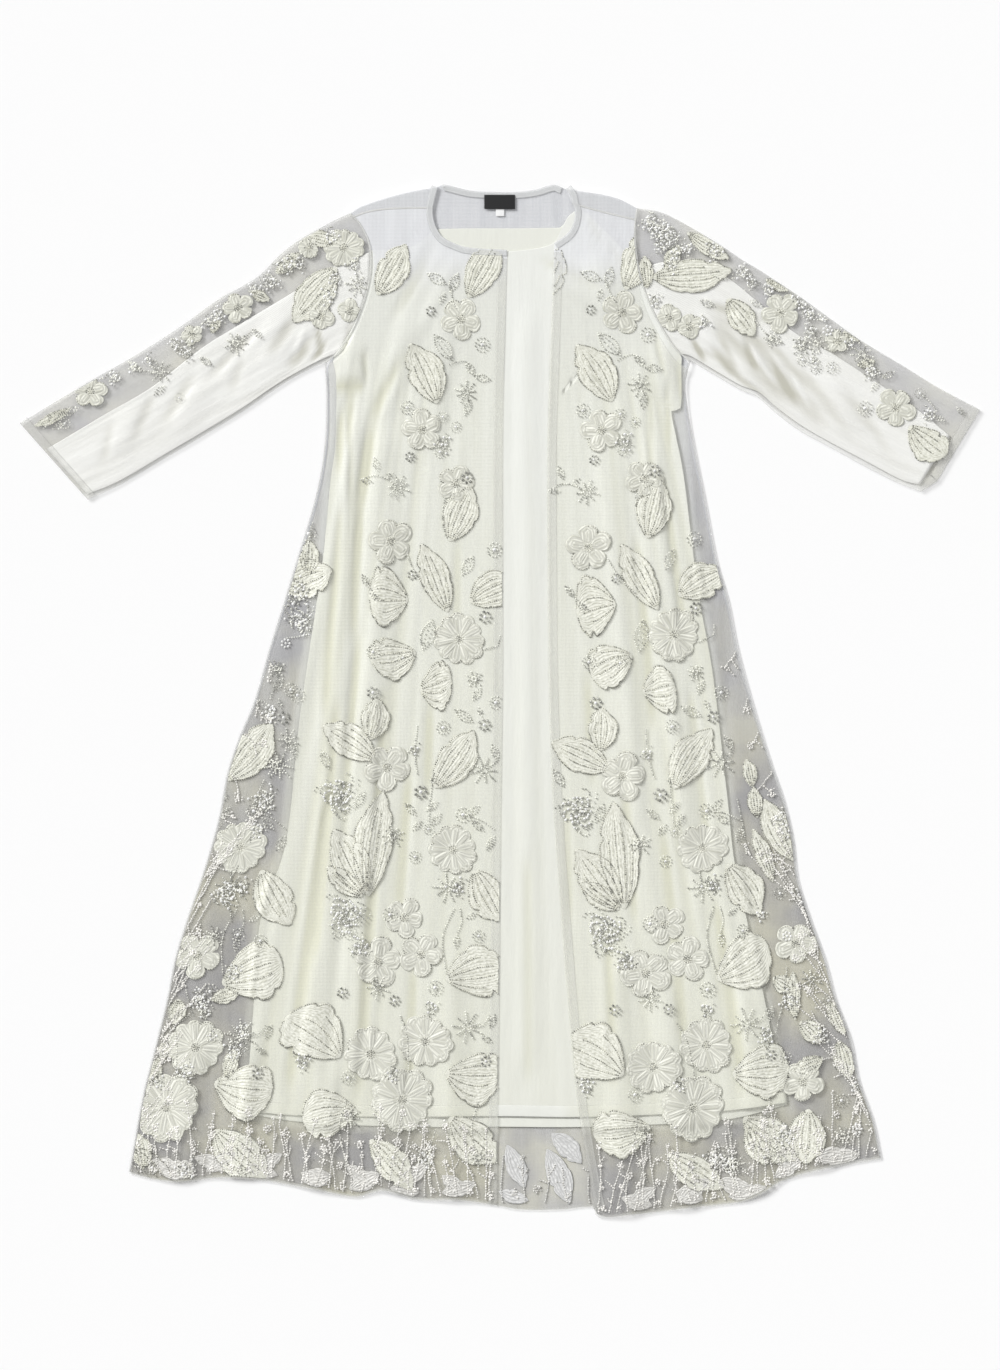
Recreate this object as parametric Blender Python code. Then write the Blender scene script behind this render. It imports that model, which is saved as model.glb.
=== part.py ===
"""Open-front abaya of sheer net with corded flower applique, satin lined, laid flat.

The garment lies on its back on a surface: +X is the viewer's right, +Y points to the neck,
+Z is up from the surface. Left and right in the names are the viewer's. The tables are in
millimetres from the middle of the laid-out garment, and the meshes are in metres.
The cloths lie on each other: back net, back satin, front satin, front net.
"""

import math

import bmesh
import bpy
import numpy as np
from mathutils import Vector
from mathutils.geometry import delaunay_2d_cdt

MM = 0.001
CLOTH = 1.0
SEAM_GAP = 0.3
LAYER = CLOTH + SEAM_GAP
NET_LEVEL = 3 * LAYER
SLACK = 1.0
CURVE_STEP = 26.0
NECK_STEP = 14.0
ROWS = [685, 640, 595, 545, 495, 450, 405, 340, 260, 180, 95, 10, -75, -160, -245, -330, -410, -485, -545]
HEM_ROW = -648.0
STEP_START = 3.0
STEP_END = 14.0
STEP_ROWS = [-600, -611]
APPLIQUE_RISE = 2.0
APPLIQUE_BEVEL = 1.6
APPLIQUE_MARGIN = 7.0
BAND_WIDTH = 13.0
BAND_START = 12.0
BAND_RISE = 0.9
BAND_BEVEL = 1.2
BINDING_WIDTH = 9.0
EDGE_ROUND = 2.2
CORNER_STEP = 3.0
TUBE_WALL = 1.4
STAGGER = 8.0
COLUMN_COUNTS = [5, 0, 0, 15, 4, 12, 0, 0, 5]
LATTICE_MARGIN = 4.0
LATTICE_BORDER = 50.0
COLUMN_STEP_LEAST = 9.0
ROW_STEP_LEAST = 6.0
RING_CLEARANCE = 2.5
RING_STEP = 4.0
RINGS_APART = 2.0
RING_REACH = 150.0
TOP_INSET = 2.6
TOP_REACH_LEAST = 8.0
FOLD_FADE = 60.0
SLACK_WIDEN = 1.6
BINDING_LIFT = 1.4
UNDERARM = 455.0
UNDERARM_BLEND = 25.0
UNDERARM_REACH = 40.0
SLEEVE_STATIONS = 20
SLEEVE_ACROSS = 8

# Outlines, as columns x and y

NECK_BACK = [(-87, 719), (-76, 722), (-42, 714), (-7, 712), (22, 712), (49, 715), (74, 722), (92, 716)]
NECK_FRONT_LEFT = [(-94, 690), (-94, 680), (-90, 664), (-80, 649), (-63, 640), (-42, 634), (10, 631)]
NECK_FRONT_RIGHT = [(76, 640), (94, 653), (102, 666), (105, 684), (101, 696)]
NECK_FOLD_LEFT = [(-87, 719), (-92, 701), (-94, 690)]
NECK_FOLD_RIGHT = [(101, 696), (99, 706), (92, 716)]
SHOULDER_FOLD_LEFT = [(-87, 719), (-112, 715), (-140, 709), (-168, 701), (-196, 691), (-210, 682)]
SHOULDER_FOLD_RIGHT = [(92, 716), (112, 713), (140, 709), (167, 702), (192, 689)]
SHOULDER_SEAM_LEFT = [(-94, 690), (-148, 689), (-182, 685), (-206, 677)]
SHOULDER_SEAM_RIGHT = [(101, 696), (140, 685), (190, 673)]
ARMHOLE_LEFT = [(-210, 682), (-196, 667), (-185, 646), (-181, 624), (-182, 596), (-190, 561),
                (-207, 519), (-227, 488), (-244, 474)]
ARMHOLE_RIGHT = [(192, 689), (189, 665), (190, 634), (196, 596), (207, 561), (224, 526),
                 (245, 493), (266, 476)]
SIDE_LEFT = [(-244, 474), (-242, 421), (-245, 351), (-258, 281), (-284, 194), (-300, 141), (-322, 71),
             (-342, 1), (-364, -52), (-381, -104), (-393, -167), (-413, -237), (-437, -307),
             (-454, -363), (-465, -419), (-486, -503), (-500, -559), (-518, -660)]
SIDE_RIGHT = [(266, 476), (259, 451), (260, 421), (272, 351), (286, 281), (302, 197), (318, 141),
              (332, 71), (351, 1), (377, -83), (396, -139), (409, -195), (416, -251), (434, -307),
              (454, -363), (469, -419), (490, -475), (501, -531), (521, -587), (532, -640)]
HEM_LEFT = [(-518, -660), (-490, -668), (-448, -673), (-392, -667), (-336, -670), (-294, -677),
            (-252, -685), (-203, -694), (-168, -685), (-140, -691), (-112, -698), (-56, -699), (-4, -706)]
HEM_BACK = [(-4, -706), (28, -712), (84, -712), (129, -708)]
HEM_RIGHT = [(136, -719), (148, -723), (196, -718), (280, -708), (336, -701), (364, -690), (392, -673),
             (420, -663), (476, -650), (532, -640)]
FRONT_EDGE_LEFT = [(10, 631), (4, 379), (4, 57), (1, -209), (-1, -419), (-4, -706)]
FRONT_EDGE_RIGHT = [(76, 640), (69, 449), (66, 337), (67, 141), (69, 1), (74, -139), (84, -279),
                    (95, -419), (108, -559), (126, -671), (136, -719)]

SLEEVE_LEFT_TOP = [(-210, 682), (-238, 669), (-280, 645), (-308, 624), (-336, 596), (-364, 578),
                   (-392, 563), (-448, 523), (-504, 487), (-560, 455), (-616, 422), (-672, 388)]
SLEEVE_LEFT_LOW = [(-244, 474), (-280, 457), (-308, 440), (-364, 402), (-420, 368), (-476, 335),
                   (-532, 302), (-577, 281)]
SLEEVE_RIGHT_TOP = [(192, 689), (224, 684), (252, 671), (280, 655), (308, 638), (336, 619), (364, 602),
                    (416, 568), (448, 545), (504, 505), (560, 471), (612, 439), (672, 407)]
SLEEVE_RIGHT_LOW = [(266, 476), (293, 460), (336, 435), (360, 425), (384, 404), (420, 377), (459, 356),
                    (504, 331), (533, 316), (560, 303), (589, 292)]
CUFF_LEFT = [(-577, 281), (-672, 388)]
CUFF_RIGHT = [(589, 292), (612, 307), (672, 407)]

SATIN_NECK_BACK = [(-90, 660), (-42, 661), (28, 661), (87, 662)]
SATIN_NECK_FRONT = [(-90, 660), (-80, 643), (-59, 633), (-28, 629), (14, 629), (56, 634), (76, 642),
                    (87, 662)]
SATIN_SHOULDER_LEFT = [(-181, 630), (-125, 635), (-90, 660)]
SATIN_SHOULDER_RIGHT = [(87, 662), (98, 680), (118, 684), (160, 645), (195, 603)]
SATIN_ARMHOLE_ENDS_LEFT = (628.0, 486.0)
SATIN_ARMHOLE_ENDS_RIGHT = (603.0, 486.0)
SATIN_SIDE_LEFT = [(-234, 474), (-229, 444), (-231, 351), (-237, 309), (-248, 197), (-269, 54),
                   (-283, -48), (-300, -201), (-335, -306), (-346, -442), (-356, -576)]
SATIN_SIDE_RIGHT = [(254, 472), (253, 410), (240, 406), (246, 372), (258, 309), (277, 156), (298, 37),
                    (318, -132), (328, -223), (347, -313), (370, -416), (388, -507), (402, -564)]
NET_STEP_RIGHT = SATIN_SIDE_RIGHT[:2] + SATIN_SIDE_RIGHT[4:]
SATIN_HEM_FRONT = [(-356, -576), (-280, -582), (-140, -584), (0, -583), (126, -584), (308, -576),
                   (402, -564)]
SATIN_HEM_BACK = [(-356, -578), (-280, -590), (-140, -597), (0, -597), (126, -597), (308, -588),
                  (402, -566)]
SATIN_SLEEVE_LEFT_TOP = [(-181, 628), (-231, 608), (-295, 568), (-365, 526), (-419, 492), (-487, 439),
                         (-552, 401), (-587, 380), (-634, 352)]
SATIN_SLEEVE_RIGHT_TOP = [(195, 603), (231, 614), (280, 610), (328, 585), (405, 520), (466, 485),
                          (532, 442), (588, 404), (630, 370)]
SATIN_SLEEVE_LEFT_LOW = [(-229, 486), (-254, 476), (-308, 446), (-364, 408), (-420, 374), (-476, 341),
                         (-532, 308), (-578, 289)]
SATIN_SLEEVE_RIGHT_LOW = [(252, 486), (268, 482), (298, 464), (336, 442), (364, 431), (388, 410),
                          (424, 384), (462, 362), (507, 338), (560, 310), (588, 302)]

# Large folds, as columns x and y of the upper end, x and y of the lower end, width, height

FOLDS = [
    (-205, 420, -268, -560, 60, 3.5), (-160, 400, -205, -560, 62, 3.5), (-112, 560, -178, 380, 58, 2.6),
    (-70, 560, -108, 330, 56, 2.0), (-206, 520, -207, 425, 56, 2.6), (115, 625, 178, 520, 56, 2.6),
    (222, 520, 232, 415, 52, 2.4), (205, 380, 262, -220, 60, 3.2), (152, 420, 190, -200, 60, 2.6),
    (38, 560, 40, -540, 52, 1.8), (157, -340, 183, -790, 66, 3.4), (231, -380, 268, -790, 66, 3.2),
    (336, -380, 384, -790, 70, 3.4), (424, -420, 466, -790, 62, 2.8), (-70, -330, -64, -790, 66, 3.4),
    (-150, -460, -152, -790, 64, 3.2), (-244, -480, -262, -790, 68, 3.4), (-345, -440, -372, -790, 68, 3.4),
    (-426, -460, -454, -790, 60, 2.8), (-400, 470, -470, 350, 62, 2.0), (-500, 440, -545, 330, 60, 2.0),
    (-300, 560, -330, 450, 60, 2.0), (320, 560, 372, 440, 62, 2.0), (440, 480, 505, 360, 62, 2.0),
]

# One repeat of the flower chart. Leaves: kind, x and y of the base, length, width, turn in degrees

CHART_LEAVES = [
    ("leaf", -172, 568, 82, 46, 55), ("leaf", -45, 564, 92, 48, 59), ("leaf", -88, 416, 92, 53, 109),
    ("leaf", -71, 223, 83, 50, 65), ("leaf", -73, 124, 103, 43, 108), ("leaf", -42, 138, 75, 53, 26),
    ("fan", -129, 141, 55, 87, 180), ("fan", -118, 68, 64, 64, -161), ("fan", -112, 15, 46, 70, 5),
    ("leaf", -183, -55, 61, 42, 74), ("leaf", -175, -82, 88, 48, 147), ("leaf", -92, -122, 98, 53, 53),
    ("leaf", -185, -274, 149, 56, 84), ("leaf", -190, -270, 100, 53, 116),
    ("leaf", -193, -274, 65, 31, 139), ("leaf", -36, -237, 83, 53, -61), ("fan", -76, -390, 85, 78, 18),
    ("fan", -224, -499, 94, 87, 136), ("fan", -76, -522, 78, 78, -10), ("fan", -200, -575, 78, 70, -173),
    ("leaf", -71, -584, 94, 59, -44), ("leaf", -182, -615, 92, 46, -45),
]

# Flowers of the same repeat: kind, x and y of the middle, width

CHART_FLOWERS = [
    ("blossom", -55, 534, 59), ("blossom", -109, 379, 59), ("blossom", -62, 304, 53),
    ("blossom", -153, 223, 64), ("daisy", -57, 86, 73), ("blossom", -158, -94, 67),
    ("daisy", -66, -209, 70), ("blossom", -134, -304, 56), ("blossom", -171, -366, 70),
    ("blossom", -111, -356, 62), ("daisy", -181, -495, 76), ("daisy", -105, -477, 76),
    ("daisy", -137, -559, 90),
]

# Where the repeat lies: turn in degrees, stretch, x and y of the shift

REPEATS_LEFT = [(0.0, 1.0, 0.0, 0.0), (-4.4, 1.06, -277.0, 10.0)]
REPEATS_RIGHT = [(9.4, 1.02, 315.0, 15.0)]

SIDE_RIGHT_LEAVES = [
    ("leaf", 411, -224, 96, 40, 116), ("leaf", 420, -450, 42, 30, -40), ("leaf", 474, -476, 56, 30, -78),
    ("leaf", 432, -572, 78, 56, -98), ("leaf", 348, -594, 62, 36, -70), ("leaf", 382, -388, 34, 26, -30),
]
SIDE_RIGHT_FLOWERS = [("blossom", 414, -340, 60), ("daisy", 446, -520, 50)]

SLEEVE_LEFT_LEAVES = [("leaf", -229, 606, 98, 52, -131), ("leaf", -602, 409, 56, 14, -151)]
SLEEVE_LEFT_FLOWERS = [
    ("daisy", -219, 634, 56), ("daisy", -268, 634, 30), ("round", -250, 538, 38), ("round", -211, 546, 34),
    ("blossom", -367, 550, 44), ("blossom", -431, 512, 30), ("blossom", -574, 433, 48),
]
SLEEVE_RIGHT_LEAVES = [
    ("leaf", 262, 655, 70, 24, -32), ("leaf", 213, 593, 113, 48, 1), ("leaf", 206, 577, 46, 22, 98),
    ("leaf", 318, 562, 64, 38, -49), ("fan", 573, 384, 66, 50, -47),
]
SLEEVE_RIGHT_FLOWERS = [("blossom", 393, 543, 56), ("blossom", 472, 503, 34), ("blossom", 554, 410, 56)]

LABEL = {"left": -22, "right": 21, "top": 708, "low": 688}
SIZE_TAB = {"left": -6, "right": 6, "top": 694, "low": 678}

# Colours as base colour, roughness

NET_LOOK = ((0.72, 0.72, 0.70), 0.6)
SATIN_LOOK = ((0.88, 0.87, 0.82), 0.35)
BINDING_LOOK = ((0.84, 0.84, 0.82), 0.55)
LABEL_LOOK = ((0.01, 0.01, 0.012), 0.7)
TAB_LOOK = ((0.9, 0.9, 0.9), 0.6)


def clear_scene():
    """Remove the objects that are in the scene."""
    for old in list(bpy.data.objects):
        bpy.data.objects.remove(old, do_unlink=True)


def smooth_line(points, step=CURVE_STEP):
    """Points about one step apart on the Catmull-Rom curve through the given points."""
    points = np.array(points, float)
    guide = np.vstack([2 * points[0] - points[1], points, 2 * points[-1] - points[-2]])
    out = []
    for k in range(1, len(guide) - 2):
        a, b, c, d = guide[k - 1:k + 3]
        count = max(1, round(np.linalg.norm(c - b) / step))
        for t in np.arange(count) / count:
            out.append(0.5 * (2 * b + (c - a) * t + (2 * a - 5 * b + 4 * c - d) * t ** 2
                              + (3 * b - a - 3 * c + d) * t ** 3))
    out.append(points[-1])
    return np.array(out)


def straight_line(points, step=CURVE_STEP):
    """Points about one step apart on the straight runs between the given points."""
    points = np.array(points, float)
    out = []
    for a, b in zip(points[:-1], points[1:]):
        count = max(1, round(np.linalg.norm(b - a) / step))
        out.extend(a + (b - a) * t for t in np.arange(count) / count)
    out.append(points[-1])
    return np.array(out)


def x_of(line, y):
    """Where a falling line stands at a height, its ends carried on upright."""
    line = np.array(line, float)
    return np.interp(-np.array(y, float), -line[:, 1], line[:, 0])


def y_of(line, x):
    """How high a line that runs to the right stands at a place, its ends carried on level."""
    line = np.array(line, float)
    return np.interp(np.array(x, float), line[:, 0], line[:, 1])


def falling_line(line, high, low, extra=()):
    """The stretch of a falling line between two heights, with a point on each row."""
    between = [y for y in set(ROWS) | set(extra) if low + ROW_STEP_LEAST < y < high - ROW_STEP_LEAST]
    levels = [high] + sorted(between, reverse=True) + [low]
    return np.array([(float(x_of(line, y)), y) for y in levels])


def whole_line(line, extra=()):
    """A falling line from its first point to its last, with a point on each row."""
    return falling_line(line, line[0][1], line[-1][1], extra)


def level_line(line):
    """A line that runs to the right, with a point on each column it meets between its ends."""
    line = np.array(line, float)
    first, last = line[0, 0], line[-1, 0]
    columns = columns_at(float(y_of(line, (first + last) / 2)))
    between = [x for x, odd in columns if first + ROW_STEP_LEAST < x < last - ROW_STEP_LEAST]
    return np.array([(x, float(y_of(line, x))) for x in [first] + between + [last]])


def outline_of(*lines):
    """One closed outline, anticlockwise, from lines laid end to end without the doubled corners."""
    joined = []
    for point in np.vstack(lines):
        if not joined or np.linalg.norm(point - joined[-1]) > 0.5:
            joined.append(point)
    if np.linalg.norm(joined[0] - joined[-1]) <= 0.5:
        joined.pop()
    joined = np.array(joined)
    return joined if area_of(joined) > 0 else joined[::-1]


def area_of(outline):
    """The area in a closed outline, below zero when it runs clockwise."""
    following = np.roll(outline, -1, axis=0)
    return np.sum(outline[:, 0] * following[:, 1] - following[:, 0] * outline[:, 1]) / 2


def nearest_on(points, outline):
    """The place on a closed outline that is nearest to each point."""
    start = outline[None, :, :]
    run = (np.roll(outline, -1, axis=0) - outline)[None, :, :]
    reach = points[:, None, :] - start
    along = np.clip(np.sum(reach * run, axis=2) / np.maximum(np.sum(run * run, axis=2), 1e-9), 0, 1)
    places = start + along[:, :, None] * run
    best = np.argmin(np.sum((points[:, None, :] - places) ** 2, axis=2), axis=1)
    return places[np.arange(len(points)), best]


def inset(points, outline):
    """How far each point lies inside a closed outline, below zero outside it."""
    points = np.array(points, float).reshape(-1, 2)
    distance = np.linalg.norm(points - nearest_on(points, outline), axis=1)
    start = outline
    run = np.roll(outline, -1, axis=0) - start
    ys = points[:, 1:2]
    crosses = (start[:, 1] > ys) != (start[:, 1] + run[:, 1] > ys)
    rise = np.where(np.abs(run[:, 1]) < 1e-9, 1e-9, run[:, 1])
    at_x = start[:, 0] + (ys - start[:, 1]) / rise * run[:, 0]
    inside = np.sum(crosses & (points[:, 0:1] < at_x), axis=1) % 2 == 1
    return np.where(inside, distance, -distance)


def shifted(line, amount):
    """A line moved sideways, to its left when the amount is above zero."""
    run = np.gradient(line, axis=0)
    run /= np.linalg.norm(run, axis=1)[:, None]
    return line + amount * np.stack([-run[:, 1], run[:, 0]], axis=1)


def smoothstep(t):
    """A soft step from 0 to 1 as t goes from 0 to 1."""
    t = np.clip(t, 0, 1)
    return t * t * (3 - 2 * t)


def fold_shares(points, widen=1.0):
    """Each fold's share of its height at the points: a raised cosine that fades at both ends."""
    shares = []
    for x_top, y_top, x_low, y_low, width, height in FOLDS:
        run = np.array([x_low - x_top, y_low - y_top], float)
        length = np.linalg.norm(run)
        way = run / length
        reach = points - np.array([x_top, y_top], float)
        along = reach @ way
        across = np.abs(reach @ np.array([-way[1], way[0]]))
        half = width * widen / 2
        cross = np.where(across < half, 0.5 + 0.5 * np.cos(np.pi * across / half), 0)
        fade = min(FOLD_FADE, length / 2.5)
        shares.append(cross * smoothstep(along / fade) * smoothstep((length - along) / fade))
    return np.array(shares)


def fold_height(points):
    """How far the folds lift the top cloths."""
    return np.array([row[5] for row in FOLDS]) @ fold_shares(points)


def slack(points):
    """Extra room between satin and net where the folds are."""
    return SLACK * np.clip(np.sum(fold_shares(points, SLACK_WIDEN), axis=0) * 2, 0, 1)


def turned(points, degrees, x, y):
    """Points turned anticlockwise about zero and then moved."""
    angle = math.radians(degrees)
    spin = np.array([[math.cos(angle), math.sin(angle)], [-math.sin(angle), math.cos(angle)]])
    return points @ spin + np.array([x, y], float)


def leaf_outline(x, y, length, width, turn, fan):
    """A pointed leaf from its base: half its width is a bent sine of the way along it."""
    steps = np.array([0.1, 0.3, 0.55, 0.8])
    bend = 1.5 if fan else 0.85
    half = width / 2 * np.sin(np.pi * steps ** bend) ** 0.75
    left = np.stack([steps * length, half], axis=1)
    right = np.stack([steps[::-1] * length, -half[::-1]], axis=1)
    return turned(np.vstack([[[0, 0]], right[::-1], [[length, 0]], left[::-1]]), turn, x, y)


def flower_outline(x, y, width, kind):
    """A flower whose edge waves in once between each pair of petals."""
    count, depth = {"blossom": (10, 0.1), "daisy": (10, 0.0), "round": (8, 0.0)}[kind]
    angle = np.arange(count) * 2 * np.pi / count
    reach = width / 2 * (1 - depth + depth * np.cos(angle * count / 2))
    return turned(np.stack([reach * np.cos(angle), reach * np.sin(angle)], axis=1), 90, x, y)


def applique_outlines(leaves, flowers, repeats=((0.0, 1.0, 0.0, 0.0),)):
    """The outline of every leaf and flower of a chart, at each place where the chart lies."""
    outlines = []
    for turn, stretch, shift_x, shift_y in repeats:
        for kind, x, y, length, width, aim in leaves:
            base = turned(np.array([[x, y]], float) * stretch, turn, shift_x, shift_y)[0]
            outlines.append(leaf_outline(base[0], base[1], length, width, aim + turn, kind == "fan"))
        for kind, x, y, width in flowers:
            middle = turned(np.array([[x, y]], float) * stretch, turn, shift_x, shift_y)[0]
            outlines.append(flower_outline(middle[0], middle[1], width, kind))
    return outlines


def cut_to(ring, border):
    """An applique cut where its panel ends, or none when less than half of it lies on the panel."""
    depth = inset(ring, border)
    if np.sum(depth >= APPLIQUE_MARGIN) < len(ring) / 2:
        return None
    edge = nearest_on(ring, border)
    way = (ring - edge) * np.sign(depth)[:, None]
    way /= np.maximum(np.linalg.norm(way, axis=1), 1e-6)[:, None]
    ring = np.where((depth < APPLIQUE_MARGIN)[:, None], edge + way * APPLIQUE_MARGIN, ring)
    apart = np.linalg.norm(ring - np.roll(ring, 1, axis=0), axis=1) > RING_STEP
    ring = ring[apart]
    return ring if len(ring) >= 5 and np.min(inset(ring, border)) > APPLIQUE_MARGIN / 2 else None


def clears(ring, others):
    """Whether a ring keeps a small distance from each of the others."""
    for other in others:
        if np.linalg.norm(np.mean(ring, axis=0) - np.mean(other, axis=0)) > RING_REACH:
            continue
        edge = np.vstack([ring, (ring + np.roll(ring, 1, axis=0)) / 2])
        other_edge = np.vstack([other, (other + np.roll(other, 1, axis=0)) / 2])
        if max(np.max(inset(edge, other)), np.max(inset(other_edge, ring))) > -RINGS_APART:
            return False
    return True


def kept_appliques(outlines, border):
    """The appliques that lie on a panel, each drawn in until it clears the ones before it."""
    kept = []
    for outline in outlines:
        ring = cut_to(outline, border)
        if ring is None:
            continue
        middle = np.mean(ring, axis=0)
        for share in (1.0, 0.92, 0.84, 0.76, 0.68, 0.6):
            smaller = middle + (ring - middle) * share
            if clears(smaller, kept):
                kept.append(smaller)
                break
    return kept


def top_ring(ring):
    """The edge of an applique's raised top: its ring drawn in towards the middle."""
    middle = np.mean(ring, axis=0)
    reach = np.linalg.norm(ring - middle, axis=1)
    return middle + (ring - middle) * (1 - TOP_INSET / max(np.min(reach), TOP_REACH_LEAST))


def relief_of(rings, front_edge=None):
    """A function that gives the height of the appliques and of the edge's folded band."""
    def relief(points):
        height = np.zeros(len(points))
        if front_edge is not None:
            distance = np.abs(points[:, 0] - x_of(front_edge, points[:, 1]))
            below = front_edge[0][1] - BAND_START - points[:, 1]
            height = BAND_RISE * np.clip((BAND_WIDTH + BAND_BEVEL - distance) / BAND_BEVEL, 0, 1)
            height *= np.clip(below / BAND_BEVEL, 0, 1)
        for ring in rings:
            near = np.max(np.abs(points - np.mean(ring, axis=0)), axis=1) < RING_REACH
            rise = APPLIQUE_RISE * np.clip(inset(points[near], ring) / APPLIQUE_BEVEL, 0, 1)
            height[near] = np.maximum(height[near], rise)
        return height
    return relief


def triangles_of(outline, loose, lines=()):
    """Triangles that fill an outline through loose points and (line, closed) pairs.

    Gives the points and the corner numbers of each triangle. The outline's own come first.
    """
    points = [Vector(p) for p in outline] + [Vector(p) for p in loose]
    edges = []
    for line, closed in lines:
        first = len(points)
        points.extend(Vector(p) for p in line)
        edges.extend((first + k, first + k + 1) for k in range(len(line) - 1))
        if closed:
            edges.append((first + len(line) - 1, first))
    border = list(range(len(outline)))
    if area_of(outline) < 0:
        border.reverse()
    found, _, faces, origins, _, _ = delaunay_2d_cdt(points, edges, [border], 1, 1e-4)
    order = {}
    extra = len(outline)
    for k, sources in enumerate(origins):
        own = [source for source in sources if source < len(outline)]
        order[k] = own[0] if own else extra
        extra += 0 if own else 1
    placed = np.zeros((extra, 2))
    for k, point in enumerate(found):
        placed[order[k]] = point
    placed[:len(outline)] = outline
    return placed, [[order[k] for k in face] for face in faces]


def height_on(points, heights, faces, wanted):
    """The height of a triangulated surface at wanted places."""
    corners = np.array(faces)
    a, b, c = (points[corners[:, k]] for k in range(3))
    whole = (b[:, 0] - a[:, 0]) * (c[:, 1] - a[:, 1]) - (c[:, 0] - a[:, 0]) * (b[:, 1] - a[:, 1])
    whole = np.where(np.abs(whole) < 1e-9, 1e-9, whole)
    out = np.zeros(len(wanted))
    for k, (x, y) in enumerate(wanted):
        share_b = ((x - a[:, 0]) * (c[:, 1] - a[:, 1]) - (c[:, 0] - a[:, 0]) * (y - a[:, 1])) / whole
        share_c = ((b[:, 0] - a[:, 0]) * (y - a[:, 1]) - (x - a[:, 0]) * (b[:, 1] - a[:, 1])) / whole
        shares = np.stack([1 - share_b - share_c, share_b, share_c], axis=1)
        best = np.argmax(np.min(shares, axis=1))
        out[k] = shares[best] @ heights[corners[best]]
    return out


class Shell:
    """Vertices and faces of one closed piece of cloth, in millimetres."""

    def __init__(self):
        self.vertices = []
        self.faces = []

    def add(self, points, heights):
        """Add points at their heights and give back their numbers."""
        first = len(self.vertices)
        heights = np.broadcast_to(heights, len(points))
        self.vertices.extend((p[0], p[1], h) for p, h in zip(points, heights))
        return list(range(first, first + len(points)))

    def fill(self, numbers, faces):
        """Add faces whose corners are looked up in a list of numbers."""
        self.faces.extend([numbers[k] for k in face] for face in faces)

    def bridge(self, row_a, row_b, closed=False):
        """Join two rows of the same length with a band of triangles."""
        count = len(row_a)
        for k in range(count if closed else count - 1):
            n = (k + 1) % count
            for face in ([row_a[k], row_a[n], row_b[n]], [row_a[k], row_b[n], row_b[k]]):
                if len(set(face)) == 3:
                    self.faces.append(face)

    def finish(self, name, look):
        """Make the mesh object, with its faces turned outwards and its own material."""
        work = bmesh.new()
        corners = [work.verts.new((x * MM, y * MM, z * MM)) for x, y, z in self.vertices]
        for face in self.faces:
            work.faces.new([corners[k] for k in face])
        loose = [v for v in work.verts if not v.link_faces]
        bmesh.ops.delete(work, geom=loose, context="VERTS")
        bmesh.ops.recalc_face_normals(work, faces=work.faces)
        mesh = bpy.data.meshes.new(name)
        work.to_mesh(mesh)
        work.free()
        mesh.materials.append(material(name, *look))
        piece = bpy.data.objects.new(name, mesh)
        bpy.context.scene.collection.objects.link(piece)


def material(name, colour, roughness):
    """A plain cloth material."""
    made = bpy.data.materials.new(name)
    made.use_nodes = True
    surface = made.node_tree.nodes["Principled BSDF"]
    surface.inputs["Base Color"].default_value = (*colour, 1.0)
    surface.inputs["Roughness"].default_value = roughness
    surface.inputs["Metallic"].default_value = 0.0
    return made


def clear_of_lines(points, lines, distance):
    """The points that lie further than a distance from every (line, closed) pair."""
    points = np.array(points, float).reshape(-1, 2)
    for line, closed in lines:
        path = line if closed else np.vstack([line, line[-2:0:-1]])
        away = np.linalg.norm(points - nearest_on(points, path), axis=1)
        points = points[away > distance]
    return points


def cloth_surfaces(shell, outline, loose, under, relief=None, rings=(), lines=()):
    """Add a plain underside and a top that may carry raised forms, and give their border rows."""
    low_points, low_faces = triangles_of(outline, loose, web_on(outline) if len(loose) else [])
    low_heights = under(low_points)
    low = shell.add(low_points, low_heights)
    shell.fill(low, low_faces)
    forms = [(ring, True) for ring in rings] + [(top_ring(ring), True) for ring in rings] + list(lines)
    web_lines = web_on(outline, rings) if len(loose) else []
    clear_points = clear_of_lines(loose, forms, RING_CLEARANCE)
    top_points, top_faces = triangles_of(outline, clear_points, web_lines + forms)
    heights = height_on(low_points, low_heights, low_faces, top_points) + CLOTH
    heights[:len(outline)] = low_heights[:len(outline)] + CLOTH
    if relief:
        heights += relief(top_points)
    top = shell.add(top_points, heights)
    shell.fill(top, top_faces)
    return low[:len(outline)], top[:len(outline)]


def cloth_sheet(name, outline, loose, under, look, relief=None, rings=(), lines=()):
    """A sheet of cloth over the height that under gives for its underside."""
    shell = Shell()
    low, top = cloth_surfaces(shell, outline, loose, under, relief, rings, lines)
    shell.bridge(low, top, closed=True)
    shell.finish(name, look)


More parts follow.
